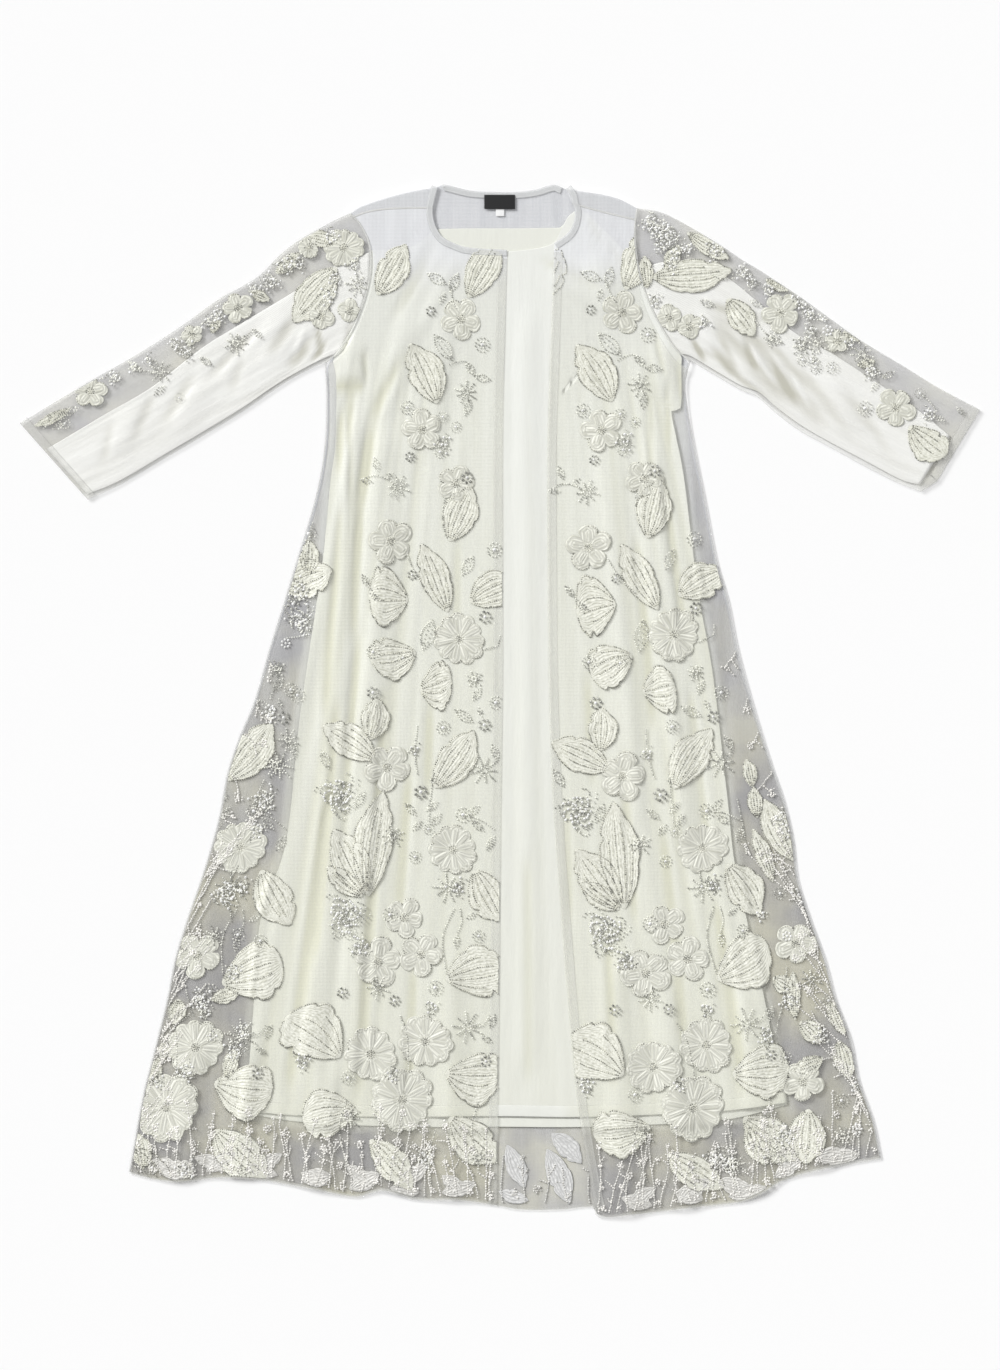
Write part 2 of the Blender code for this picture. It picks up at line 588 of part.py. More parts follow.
def cloth_tube(name, start, low_edge, end, top_edge, stand, over, loose, look, relief=None, lines=()):
    """A sleeve pressed flat: a tube of cloth that is open at its start and at its end.

    The four lines run round the sleeve: down the armhole, along the lower edge, up the cuff and
    back along the upper edge. stand is the height of the tube's underside and over its top.
    """
    shell = Shell()
    start = with_end_steps(start, EDGE_ROUND)
    low_edge = with_end_steps(np.vstack([start[-1:], low_edge[1:]]), CORNER_STEP)
    end = with_end_steps(np.vstack([low_edge[-1:], end[1:]]), EDGE_ROUND)
    top_edge = with_end_steps(np.vstack([end[-1:], top_edge[1:-1], start[:1]]), CORNER_STEP)
    corners = np.cumsum([0, len(start) - 1, len(low_edge) - 1, len(end) - 1])
    outer = np.vstack([start[:-1], low_edge[:-1], end[:-1], top_edge[:-1]])
    on_edge = np.zeros(len(outer), bool)
    on_edge[corners[1]:corners[2] + 1] = True
    on_edge[corners[3]:] = True
    on_edge[0] = True
    run = np.roll(outer, -1, axis=0) - np.roll(outer, 1, axis=0)
    run /= np.linalg.norm(run, axis=1)[:, None]
    way_in = np.stack([-run[:, 1], run[:, 0]], axis=1) * np.sign(area_of(outer))
    for corner, beside in ((0, 1), (corners[1], corners[1] - 1), (corners[2], corners[2] + 1),
                           (corners[3], corners[3] - 1)):
        way_in[corner] = (outer[beside] - outer[corner]) / np.linalg.norm(outer[beside] - outer[corner])
    guarded = on_edge.copy()
    guarded[corners] = False
    inner = np.where(on_edge[:, None], outer + TUBE_WALL * way_in, outer)

    def skin(border, top_height, low_height, wavy):
        guard = (border + EDGE_ROUND * way_in)[guarded]
        seeds = loose[inset(loose, border) > EDGE_ROUND + 5]
        points, faces = triangles_of(border, np.vstack([guard, seeds]))
        flat = top_height(points)
        if wavy:
            raised, raised_faces = triangles_of(
                border, np.vstack([guard, clear_of_lines(seeds, lines, RING_CLEARANCE)]), lines)
            flat = height_on(points, flat, faces, raised) + relief(raised)
            points, faces = raised, raised_faces
        edge_height = (stand + over(border)) / 2
        flat[:len(border)] = np.where(on_edge, edge_height, flat[:len(border)])
        top = shell.add(points, flat)
        shell.fill(top, faces)
        points, faces = triangles_of(border, guard)
        low = shell.add(points, low_height)
        low = [top[k] if k < len(border) and on_edge[k] else low[k] for k in range(len(low))]
        shell.fill(low, faces)
        return top, low

    outer_top, outer_low = skin(outer, over, stand, relief is not None)
    inner_top, inner_low = skin(inner, lambda p: over(p) - CLOTH, stand + CLOTH, False)
    for first, last in ((0, corners[1]), (corners[2], corners[3])):
        row = range(first, last + 1)
        shell.bridge([outer_top[k] for k in row], [inner_top[k] for k in row])
        shell.bridge([outer_low[k] for k in row], [inner_low[k] for k in row])
    shell.finish(name, look)


def with_end_steps(line, step):
    """A line with a further point close to each of its ends, where a flat tube rounds over."""
    first = (line[1] - line[0]) / np.linalg.norm(line[1] - line[0])
    last = (line[-2] - line[-1]) / np.linalg.norm(line[-2] - line[-1])
    return np.vstack([line[:1], [line[0] + step * first], line[1:-1], [line[-1] + step * last], line[-1:]])


def zone(first, last, count):
    """Columns between two places, each with its place and whether it is odd.

    There are fewer of them where the two places draw together.
    """
    count = min(count, max(0, int((last - first) / COLUMN_STEP_LEAST) - 1))
    return [(x, (k + 1) % 2) for k, x in enumerate(np.linspace(first, last, count + 2)[1:-1])]


def guides_at(y):
    """Where the side seams, the front edges and the net's step beside the satin stand at one height."""
    seam_left, satin_left, edge_left, edge_right, satin_right, seam_right = (
        float(x_of(line, y)) for line in (SIDE_LEFT, SATIN_SIDE_LEFT, FRONT_EDGE_LEFT, FRONT_EDGE_RIGHT,
                                          NET_STEP_RIGHT, SIDE_RIGHT))
    return [seam_left, satin_left - STEP_END, satin_left - STEP_START, satin_left, edge_left, edge_right,
            satin_right, satin_right + STEP_START, satin_right + STEP_END, seam_right]


def columns_at(y):
    """Where the columns of loose points stand on the body at one height, and which of them are odd."""
    guides = guides_at(y)
    columns = []
    for k, count in enumerate(COLUMN_COUNTS):
        columns += zone(guides[k], guides[k + 1], count)
        if k + 1 < len(guides) - 1:
            columns.append((guides[k + 1], 0))
    return columns


def step_row(xs, drop):
    """A row of points that follows the satin's hem at some distance below it."""
    return [(x, float(y_of(SATIN_HEM_BACK, x)) - drop) for x in xs]


def body_lattice():
    """Loose points on the body: one for each row and column, and rows below the satin's hem."""
    points = [(x, y + STAGGER * odd) for y in ROWS for x, odd in columns_at(y)]
    low = [x for x, odd in columns_at(STEP_ROWS[0])]
    points += step_row(low, STEP_START) + step_row(low, STEP_END)
    points += [(x, HEM_ROW) for x, odd in columns_at(HEM_ROW)]
    return np.array(points)


def lattice_web(points):
    """The edges of the triangles between the body's loose points, with its upright guides among them."""
    upright = [[(x, y) for x in guides_at(y)[1:-1]] for y in ROWS]
    low = guides_at(STEP_ROWS[0])[1:-1]
    upright += [step_row(low, STEP_START), step_row(low, STEP_END)]
    upright.append([(x, HEM_ROW) for x in guides_at(HEM_ROW)[1:-1]])
    guides = [(line, False) for line in np.array(upright).transpose(1, 0, 2)]
    left, low_end = points.min(axis=0) - LATTICE_BORDER
    right, top_end = points.max(axis=0) + LATTICE_BORDER
    frame = np.array([(left, low_end), (right, low_end), (right, top_end), (left, top_end)])
    placed, faces = triangles_of(frame, points, guides)
    pairs = {tuple(sorted(pair)) for face in faces for pair in zip(face, face[1:] + face[:1])}
    return np.array([placed[list(pair)] for pair in sorted(pairs) if min(pair) >= len(frame)])


def web_on(outline, rings=()):
    """The edges of the web that lie on a piece and clear of its appliques, as open lines."""
    inside = np.min([inset(web[:, k], outline) for k in range(2)], axis=0) > LATTICE_MARGIN
    kept = web[inside & (inset(web.mean(axis=1), outline) > 1.0)]
    for share in (0.0, 0.25, 0.5, 0.75, 1.0):
        along = kept[:, 0] * (1 - share) + kept[:, 1] * share
        for ring in rings:
            near = np.max(np.abs(along - np.mean(ring, axis=0)), axis=1) < RING_REACH
            crosses = np.zeros(len(kept), bool)
            crosses[near] = inset(along[near], ring) > -RING_CLEARANCE
            kept = kept[~crosses]
            along = along[~crosses]
    return [(edge, False) for edge in kept]


def on_piece(points, outline):
    """The points that lie inside an outline by more than a small margin."""
    return points[inset(points, outline) > LATTICE_MARGIN]


def sleeve_lattice(top_edge, low_edge):
    """Loose points on a sleeve: stations along it, each with points from edge to edge."""
    points = []
    for share in np.linspace(0.0, 1.0, SLEEVE_STATIONS + 1):
        ends = []
        for edge in (np.array(top_edge, float), np.array(low_edge, float)):
            lengths = np.append(0, np.cumsum(np.linalg.norm(np.diff(edge, axis=0), axis=1)))
            at = share * lengths[-1]
            ends.append([np.interp(at, lengths, edge[:, k]) for k in range(2)])
        top, low = np.array(ends)
        points.extend(top + (low - top) * t for t in np.linspace(0, 1, SLEEVE_ACROSS + 2)[1:-1])
    return np.array(points)


def back_satin_level(points):
    """Height of the back satin's underside."""
    return np.full(len(points), LAYER)


def front_satin_level(points):
    """Height of the front satin's underside."""
    return 2 * LAYER + fold_height(points)


def front_net_level(points):
    """Height of the front net's underside: over the satin and its folds, or on the back net."""
    x, y = points[:, 0], points[:, 1]
    beyond_left = x_of(SATIN_SIDE_LEFT, y) - x
    beyond_right = x - x_of(NET_STEP_RIGHT, y)
    below = y_of(SATIN_HEM_BACK, x) - y
    sideways = np.maximum(beyond_left, beyond_right)
    sideways -= UNDERARM_REACH * smoothstep((y - UNDERARM) / UNDERARM_BLEND)
    beyond = np.maximum(sideways, below)
    step = 1 - np.clip((beyond - STEP_START) / (STEP_END - STEP_START), 0, 1)
    return LAYER + (NET_LEVEL - LAYER) * step + fold_height(points) + slack(points)


def on_back_net(points):
    """Height of a cloth that lies on the back net."""
    return np.full(len(points), LAYER)


def on_front_net(points):
    """Height of a cloth that lies on the front net."""
    return front_net_level(points) + BINDING_LIFT


def on_net_tube(points):
    """Height of the top of a net sleeve."""
    return NET_LEVEL + CLOTH + fold_height(points) + slack(points)


def on_satin_tube(points):
    """Height of the top of a satin sleeve."""
    return 2 * LAYER + CLOTH + fold_height(points)


def shoulder_seam(table, armhole, count):
    """A shoulder seam that ends on the armhole, with one point for each point of the fold above it."""
    last = table[-1][1]
    line = np.vstack([table[:-1], [[float(x_of(armhole, last)), last]]])
    lengths = np.append(0, np.cumsum(np.linalg.norm(np.diff(line, axis=0), axis=1)))
    wanted = np.linspace(0, lengths[-1], count)
    return np.stack([np.interp(wanted, lengths, line[:, k]) for k in range(2)], axis=1)


def armhole_below(armhole, high):
    """The stretch of an armhole below a height, with a new end point there."""
    kept = armhole[armhole[:, 1] < high - ROW_STEP_LEAST]
    return np.vstack([[[float(x_of(armhole, high)), high]], kept])


def armhole_between(armhole, high, low):
    """The stretch of an armhole between two heights, with new end points there."""
    kept = armhole_below(armhole, high)
    kept = kept[kept[:, 1] > low + ROW_STEP_LEAST]
    return np.vstack([kept, [[float(x_of(armhole, low)), low]]])


def back_net():
    """The back: a flat sheet whose shoulders fold forwards over the top to the shoulder seams."""
    hem = np.vstack([level_line(HEM_LEFT), HEM_BACK[1:], level_line(HEM_RIGHT)])
    outline = outline_of(smooth_line(NECK_BACK), fold_right, armhole_right, side_right, hem[::-1],
                         side_left[::-1], armhole_left[::-1], fold_left[::-1])
    shell = Shell()
    low_points, low_faces = triangles_of(outline, [])
    low = shell.add(low_points, 0.0)
    shell.fill(low, low_faces)
    top_outline = outline.copy()
    strips = []
    for fold, seam, armhole in ((fold_left, seam_left, armhole_left),
                                (fold_right, seam_right, armhole_right)):
        numbers = [int(np.argmin(np.linalg.norm(outline - point, axis=1))) for point in fold]
        top_outline[numbers] -= (0, CLOTH)
        top_outline[numbers[-1], 0] = x_of(armhole, top_outline[numbers[-1], 1])
        strips.append((numbers, seam))
    top_points, top_faces = triangles_of(top_outline, [])
    top = shell.add(top_points, CLOTH)
    shell.fill(top, top_faces)
    folded = set()
    for numbers, seam in strips:
        rows = [
            [low[k] for k in numbers],
            shell.add(outline[numbers], NET_LEVEL + CLOTH),
            shell.add(seam, NET_LEVEL + CLOTH),
            shell.add(seam, NET_LEVEL),
            shell.add(top_outline[numbers], NET_LEVEL),
            [top[k] for k in numbers],
        ]
        for row, following in zip(rows[:-1], rows[1:]):
            shell.bridge(row, following)
        for end in (0, -1):
            corner = [row[end] for row in rows]
            for a, b, c in ((0, 1, 4), (0, 4, 5), (1, 2, 3), (1, 3, 4)):
                shell.faces.append([corner[a], corner[b], corner[c]])
        folded |= {tuple(sorted(pair)) for pair in zip(numbers[:-1], numbers[1:])}
    count = len(outline)
    for k in range(count):
        n = (k + 1) % count
        if tuple(sorted((k, n))) not in folded:
            shell.bridge([low[k], low[n]], [top[k], top[n]])
    shell.finish("back_net", NET_LOOK)


def front_net(name, neck, shoulder, armhole, side, hem, edge, outward, rings):
    """A front: net over the satin, with its flower appliques and the folded band of its edge."""
    outline = outline_of(neck, edge, hem, side[::-1], armhole[::-1], shoulder[::-1])
    free = outline_of(shifted(neck, outward * BINDING_WIDTH), edge[1:], hem, side[::-1], armhole[::-1],
                      shoulder[::-1])
    appliques = kept_appliques(rings, free)
    stretch = falling_line(edge, edge[0][1] - ROW_STEP_LEAST, edge[-1][1] + ROW_STEP_LEAST)
    band = [(stretch + (outward * width, 0), False) for width in (BAND_WIDTH, BAND_WIDTH + BAND_BEVEL)]
    cloth_sheet(name, outline, on_piece(lattice, outline), front_net_level, NET_LOOK,
                relief_of(appliques, edge), appliques, band)


def front_nets():
    """Both fronts, which hang from the shoulder seams and lie side by side, a little apart."""
    edge_left, edge_right = (
        whole_line(table, STEP_ROWS + [table[0][1] - BAND_START, HEM_ROW])
        for table in (FRONT_EDGE_LEFT, FRONT_EDGE_RIGHT))
    drop = np.array([0, SEAM_GAP])
    front_net(
        "front_net_left", smooth_line(NECK_FRONT_LEFT, NECK_STEP)[1:],
        seam_left - drop, armhole_below(armhole_left, seam_left[-1, 1] - SEAM_GAP), side_left,
        level_line(HEM_LEFT)[::-1], edge_left, -1,
        applique_outlines(CHART_LEAVES, CHART_FLOWERS, REPEATS_LEFT))
    front_net(
        "front_net_right", smooth_line(NECK_FRONT_RIGHT, NECK_STEP)[:-1][::-1],
        seam_right - drop, armhole_below(armhole_right, seam_right[-1, 1] - SEAM_GAP), side_right,
        level_line(HEM_RIGHT), edge_right, 1,
        applique_outlines(CHART_LEAVES, CHART_FLOWERS, REPEATS_RIGHT)
        + applique_outlines(SIDE_RIGHT_LEAVES, SIDE_RIGHT_FLOWERS))


def satin_body():
    """The back and the front of the satin, which hang inside the net and are shorter."""
    arm_left = armhole_between(armhole_left, *SATIN_ARMHOLE_ENDS_LEFT)
    arm_right = armhole_between(armhole_right, *SATIN_ARMHOLE_ENDS_RIGHT)
    left = whole_line(SATIN_SIDE_LEFT)
    right = whole_line(SATIN_SIDE_RIGHT, [SATIN_SIDE_RIGHT[1][1] + 1])
    for name, neck, hem, level in (("satin_back", SATIN_NECK_BACK, SATIN_HEM_BACK, back_satin_level),
                                   ("satin_front", SATIN_NECK_FRONT, SATIN_HEM_FRONT, front_satin_level)):
        outline = outline_of(
            smooth_line(neck, NECK_STEP), SATIN_SHOULDER_RIGHT[1:-1], arm_right, right,
            level_line(hem)[::-1], left[::-1], arm_left[::-1], SATIN_SHOULDER_LEFT[1:])
        loose = on_piece(lattice, outline) if name == "satin_front" else []
        cloth_sheet(name, outline, loose, level, SATIN_LOOK)


def sleeve(side, out, armhole, top_table, low_table, cuff, satin_top, satin_low, satin_heights, rings):
    """A net sleeve pressed flat, and the satin sleeve inside it."""
    loose = sleeve_lattice(top_table, low_table)
    start = shifted(armhole, out * SEAM_GAP)
    low_edge = smooth_line(low_table)
    top_edge = smooth_line(top_table)[::-1]
    appliques = kept_appliques(rings, outline_of(start, low_edge, cuff, top_edge))
    lines = [(ring, True) for ring in appliques] + [(top_ring(ring), True) for ring in appliques]
    cloth_tube("sleeve_net_" + side, start, low_edge, straight_line(cuff), top_edge, 0.0, on_net_tube,
               loose, NET_LOOK, relief_of(appliques), lines)
    satin_start = shifted(armhole_between(armhole, *satin_heights), out * SEAM_GAP)
    satin_cuff = straight_line([satin_low[-1], satin_top[-1]])
    cloth_tube("sleeve_satin_" + side, satin_start, smooth_line(satin_low), satin_cuff,
               smooth_line(satin_top)[::-1], LAYER, on_satin_tube, loose, SATIN_LOOK)


def sleeves():
    """Both sleeves, which run out and down from the armholes."""
    sleeve("left", -1, armhole_left, SLEEVE_LEFT_TOP, SLEEVE_LEFT_LOW, CUFF_LEFT,
           SATIN_SLEEVE_LEFT_TOP, SATIN_SLEEVE_LEFT_LOW, SATIN_ARMHOLE_ENDS_LEFT,
           applique_outlines(SLEEVE_LEFT_LEAVES, SLEEVE_LEFT_FLOWERS))
    sleeve("right", 1, armhole_right, SLEEVE_RIGHT_TOP, SLEEVE_RIGHT_LOW, CUFF_RIGHT,
           SATIN_SLEEVE_RIGHT_TOP, SATIN_SLEEVE_RIGHT_LOW, SATIN_ARMHOLE_ENDS_RIGHT,
           applique_outlines(SLEEVE_RIGHT_LEAVES, SLEEVE_RIGHT_FLOWERS))


def neck_bindings():
    """The bound neckline: a narrow band on the back net and one on each front."""
    back = level_line([(-82, 720)] + NECK_BACK[1:-1] + [(87, 718)])
    front_left = smooth_line(NECK_FOLD_LEFT + NECK_FRONT_LEFT[1:], NECK_STEP)
    front_right = smooth_line(NECK_FRONT_RIGHT + NECK_FOLD_RIGHT[1:], NECK_STEP)
    for name, line, level in (("neck_binding_back", back, on_back_net),
                              ("neck_binding_left", front_left, on_front_net),
                              ("neck_binding_right", front_right, on_front_net)):
        outline = outline_of(line, shifted(line, -BINDING_WIDTH)[::-1])
        cloth_sheet(name, outline, [], level, BINDING_LOOK)


def neck_labels():
    """The bare label sewn on the back neck binding, and the bare size tab under it."""
    for name, edges, height, look in (("neck_label", LABEL, 2 * LAYER, LABEL_LOOK),
                                      ("size_tab", SIZE_TAB, LAYER, TAB_LOOK)):
        left, right, top, low = (edges[key] for key in ("left", "right", "top", "low"))
        outline = np.array([(left, low), (right, low), (right, top), (left, top)], float)
        cloth_sheet(name, outline, [], lambda points: np.full(len(points), height), look)


clear_scene()

lattice = body_lattice()
web = lattice_web(lattice)
armhole_left = smooth_line(ARMHOLE_LEFT)
armhole_right = smooth_line(ARMHOLE_RIGHT)
fold_left = smooth_line(SHOULDER_FOLD_LEFT)
fold_right = smooth_line(SHOULDER_FOLD_RIGHT)
seam_left = shoulder_seam(SHOULDER_SEAM_LEFT, armhole_left, len(fold_left))
seam_right = shoulder_seam(SHOULDER_SEAM_RIGHT, armhole_right, len(fold_right))
side_left = whole_line(SIDE_LEFT)
side_right = whole_line(SIDE_RIGHT)

back_net()
satin_body()
front_nets()
sleeves()
neck_bindings()
neck_labels()
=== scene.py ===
"""Open-front abaya of sheer net with corded flower applique and beads, satin lined, laid flat."""

import math

import bmesh
import bpy
import numpy as np
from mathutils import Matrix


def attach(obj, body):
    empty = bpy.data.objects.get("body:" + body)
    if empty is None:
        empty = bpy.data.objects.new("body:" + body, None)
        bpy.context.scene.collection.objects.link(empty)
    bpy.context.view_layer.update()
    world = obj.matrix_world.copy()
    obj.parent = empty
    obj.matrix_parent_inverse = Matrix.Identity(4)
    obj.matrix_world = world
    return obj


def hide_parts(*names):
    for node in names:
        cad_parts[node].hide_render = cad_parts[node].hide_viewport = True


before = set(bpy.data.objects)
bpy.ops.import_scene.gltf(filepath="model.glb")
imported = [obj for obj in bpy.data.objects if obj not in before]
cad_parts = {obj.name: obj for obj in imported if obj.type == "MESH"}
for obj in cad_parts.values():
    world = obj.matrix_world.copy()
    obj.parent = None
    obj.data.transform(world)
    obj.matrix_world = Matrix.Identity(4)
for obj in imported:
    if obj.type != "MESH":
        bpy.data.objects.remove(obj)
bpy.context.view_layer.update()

# The back of the satin lining: a plain cream satin, cut A-line and hemmed short of the net.
# It lies on the back net. Its neck, shoulders and sides stay inside the net's.

MM = 0.001
SATIN_WALL = 0.7
SATIN_BACK_LEVEL = 1.8
SATIN_NECK_BACK = [(-90, 660), (-42, 661), (28, 661), (87, 662)]
SATIN_SHOULDER_LEFT = [(-181, 630), (-125, 635), (-90, 660)]
SATIN_SHOULDER_RIGHT = [(87, 662), (98, 680), (118, 684), (160, 645), (195, 603)]
SATIN_ARMHOLE_LEFT = [(-181, 628), (-181, 624), (-182, 596), (-190, 561), (-207, 519), (-229, 486),
                      (-234, 474)]
SATIN_ARMHOLE_RIGHT = [(195, 603), (196, 596), (207, 561), (224, 526), (252, 486), (254, 472)]
SATIN_SIDE_LEFT = [(-234, 474), (-229, 444), (-231, 351), (-237, 309), (-248, 197), (-269, 54),
                   (-283, -48), (-300, -201), (-335, -306), (-346, -442), (-356, -576)]
SATIN_SIDE_RIGHT = [(254, 472), (253, 410), (240, 406), (246, 372), (258, 309), (277, 156), (298, 37),
                    (318, -132), (328, -223), (347, -313), (370, -416), (388, -507), (402, -564)]
SATIN_HEM_BACK = [(-356, -578), (-280, -590), (-140, -597), (0, -597), (126, -597), (308, -588),
                  (402, -566)]


def smooth_points(points, steps=16):
    """The Catmull-Rom curve through the given points, as close points.

    Between b and c it is (2b + (c-a)t + (2a-5b+4c-d)t^2 + (3b-a-3c+d)t^3) / 2.
    """
    guide = np.array(points, float)
    guide = np.vstack([2 * guide[0] - guide[1], guide, 2 * guide[-1] - guide[-2]])
    t = (np.arange(steps) / steps)[None, :, None]
    a, b, c, d = (guide[k:len(guide) - 3 + k, None, :] for k in range(4))
    curve = 0.5 * (2 * b + (c - a) * t + (2 * a - 5 * b + 4 * c - d) * t ** 2
                   + (3 * b - a - 3 * c + d) * t ** 3)
    return np.vstack([curve.reshape(-1, guide.shape[1]), guide[-2]])


def edge_line(*lines):
    """Several lines laid end to end, each smooth in itself, with the corners between them kept."""
    return np.vstack([smooth_points(line) for line in lines])


def along(line, shares):
    """The points of a line at given shares of its length."""
    length = np.append(0, np.cumsum(np.linalg.norm(np.diff(line, axis=0), axis=1)))
    wanted = np.asarray(shares) * length[-1]
    return np.stack([np.interp(wanted, length, line[:, k]) for k in range(line.shape[1])], axis=-1)


def patch(low, top, left, right, u, v):
    """A sheet stretched between four edges: the blend of low and top plus that of left and right.

    S(u, v) = (1-v) low(u) + v top(u) + (1-u) left(v) + u right(v) - the blend of the four corners.
    """
    low, top = along(low, u)[None], along(top, u)[None]
    left, right = along(left, v)[:, None], along(right, v)[:, None]
    u, v = np.asarray(u)[None, :, None], np.asarray(v)[:, None, None]
    corners = ((1 - u) * (1 - v) * left[:1] + u * (1 - v) * right[:1] + (1 - u) * v * left[-1:]
               + u * v * right[-1:])
    return (1 - v) * low + v * top + (1 - u) * left + u * right - corners


def close_ends(count):
    """Even shares from 0 to 1 with one more close to each end, so that a wall's edge stays crisp."""
    return np.concatenate([[0.0, 0.0007], np.linspace(0, 1, count)[1:-1], [0.9993, 1.0]])


def grid_faces(rows, columns, round_columns=False, first=0):
    """The four-cornered faces of a grid of points, joined round when its last column meets its first."""
    row = np.arange(rows - 1)[:, None]
    column = np.arange(columns if round_columns else columns - 1)[None, :]
    after = (column + 1) % columns
    corners = (row * columns + column, row * columns + after, (row + 1) * columns + after,
               (row + 1) * columns + column)
    return np.stack(np.broadcast_arrays(*corners), axis=-1).reshape(-1, 4) + first


def mark(mesh, name, numbers):
    """Keep one number from 0 to 1 for each point of a mesh, for its material to read."""
    values = mesh.attributes.new(name, "FLOAT", "POINT")
    values.data.foreach_set("value", np.asarray(numbers, np.float32).ravel())


def make_piece(name, points, faces, look, uv=None, merge=False, **marks):
    """A smooth mesh object from points in millimetres and faces, on the garment's own axes.

    uv holds a place on the cloth for each point, in metres, and each mark one number for each point.
    """
    mesh = bpy.data.meshes.new(name)
    mesh.from_pydata((np.asarray(points) * MM).reshape(-1, 3).tolist(), [], faces.tolist())
    if uv is not None:
        layer = mesh.uv_layers.new(name="cloth")
        corner = np.zeros(len(mesh.loops), np.int32)
        mesh.loops.foreach_get("vertex_index", corner)
        layer.data.foreach_set("uv", np.asarray(uv).reshape(-1, 2)[corner].astype(np.float32).ravel())
    for key, numbers in marks.items():
        mark(mesh, key, numbers)
    if merge:
        work = bmesh.new()
        work.from_mesh(mesh)
        bmesh.ops.remove_doubles(work, verts=work.verts, dist=0.00002)
        bmesh.ops.dissolve_degenerate(work, edges=work.edges, dist=0.00001)
        bmesh.ops.recalc_face_normals(work, faces=work.faces)
        work.to_mesh(mesh)
        work.free()
    mesh.shade_smooth()
    mesh.materials.append(look)
    piece = bpy.data.objects.new(name, mesh)
    bpy.context.scene.collection.objects.link(piece)
    return piece


def give_wall(piece, thickness):
    """Give a sheet its wall, half of it to each side."""
    wall = piece.modifiers.new("wall", "SOLIDIFY")
    wall.thickness = thickness * MM
    wall.offset = 0.0


def dress(piece, slot, *nodes):
    """Fix a piece to the garment and hide the cloth solids that it stands for. slot is not used."""
    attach(piece, "root")
    if nodes:
        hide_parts(*nodes)


def new_look(name):
    """An empty material, with its node tree and the inputs of its surface shader."""
    look = bpy.data.materials.new(name)
    look.use_nodes = True
    return look, look.node_tree, look.node_tree.nodes["Principled BSDF"].inputs


def fill(tree, inputs, values):
    """Give inputs their values by name or number: an output is linked, and a colour is made opaque."""
    for key, value in values.items():
        socket = inputs[key]
        if isinstance(value, bpy.types.NodeSocket):
            tree.links.new(value, socket)
        elif socket.type == "RGBA":
            socket.default_value = (*value, 1.0)
        else:
            socket.default_value = value


def add_node(tree, kind, values, **settings):
    """A node with its settings, and with its inputs set or linked: its outputs."""
    made = tree.nodes.new(kind)
    for key, value in settings.items():
        setattr(made, key, value)
    fill(tree, made.inputs, values)
    return made.outputs


def product(tree, first, second, plus=0.0, use_clamp=False):
    """first x second + plus."""
    values = {0: first, 1: second, 2: plus}
    return add_node(tree, "ShaderNodeMath", values, operation="MULTIPLY_ADD", use_clamp=use_clamp)[0]


def blend(tree, factor, first, second):
    """A colour that goes from the first to the second with the factor."""
    values = {"Factor": factor, "A": first, "B": second}
    return add_node(tree, "ShaderNodeMix", values, data_type="RGBA")["Result"]


def noise(tree, place, scale, detail, roughness=0.5):
    """Soft noise from 0 to 1."""
    values = {"Vector": place, "Scale": scale, "Detail": detail, "Roughness": roughness}
    return add_node(tree, "ShaderNodeTexNoise", values)["Fac"]


def stretched(tree, place, scale):
    """A place stretched along its three axes."""
    return add_node(tree, "ShaderNodeMapping", {"Vector": place, "Scale": scale})["Vector"]


def relief(tree, height, strength, distance):
    """The surface turned by a height, as bump."""
    values = {"Height": height, "Strength": strength, "Distance": distance}
    return add_node(tree, "ShaderNodeBump", values)["Normal"]


def new_group(name, numbers, results):
    """A node group that takes a place and numbers and gives results: its tree, inputs and outputs."""
    tree = bpy.data.node_groups.new(name, "ShaderNodeTree")
    tree.interface.new_socket(name="Vector", in_out="INPUT", socket_type="NodeSocketVector")
    for key, value in numbers.items():
        made = tree.interface.new_socket(name=key, in_out="INPUT", socket_type="NodeSocketFloat")
        made.default_value = value
    for key in results:
        tree.interface.new_socket(name=key, in_out="OUTPUT", socket_type="NodeSocketFloat")
    return tree, tree.nodes.new("NodeGroupInput").outputs, tree.nodes.new("NodeGroupOutput").inputs


def on_cloth(tree, group, **numbers):
    """A node group laid on the places of the cloth: its outputs."""
    place = add_node(tree, "ShaderNodeUVMap", {}, uv_map="cloth")["UV"]
    return add_node(tree, "ShaderNodeGroup", {"Vector": place, **numbers}, node_tree=group)


def marked(tree, name):
    """The number that a mesh keeps for each point under a name."""
    return add_node(tree, "ShaderNodeAttribute", {}, attribute_name=name)["Fac"]


def cloth_group():
    """A node group for woven cloth: crossed threads, slubs and soft creases from a place on the cloth."""
    tree, enter, leave = new_group("woven_cloth", {"Threads": 900.0, "Creases": 1.0}, ("Height", "Mottle"))
    place = enter["Vector"]
    across = {"Vector": place, "Scale": enter["Threads"], "Distortion": 0.6}
    warp = add_node(tree, "ShaderNodeTexWave", across, bands_direction="X")["Fac"]
    weft = add_node(tree, "ShaderNodeTexWave", across, bands_direction="Y")["Fac"]
    creases = noise(tree, stretched(tree, place, (42.0, 7.0, 42.0)), 1.0, 4.0, 0.55)
    creases = product(tree, creases, enter["Creases"])
    fill(tree, leave, {"Height": product(tree, product(tree, warp, weft), 0.03, creases),
                       "Mottle": noise(tree, place, 14.0, 3.0)})
    return tree


WOVEN = cloth_group()


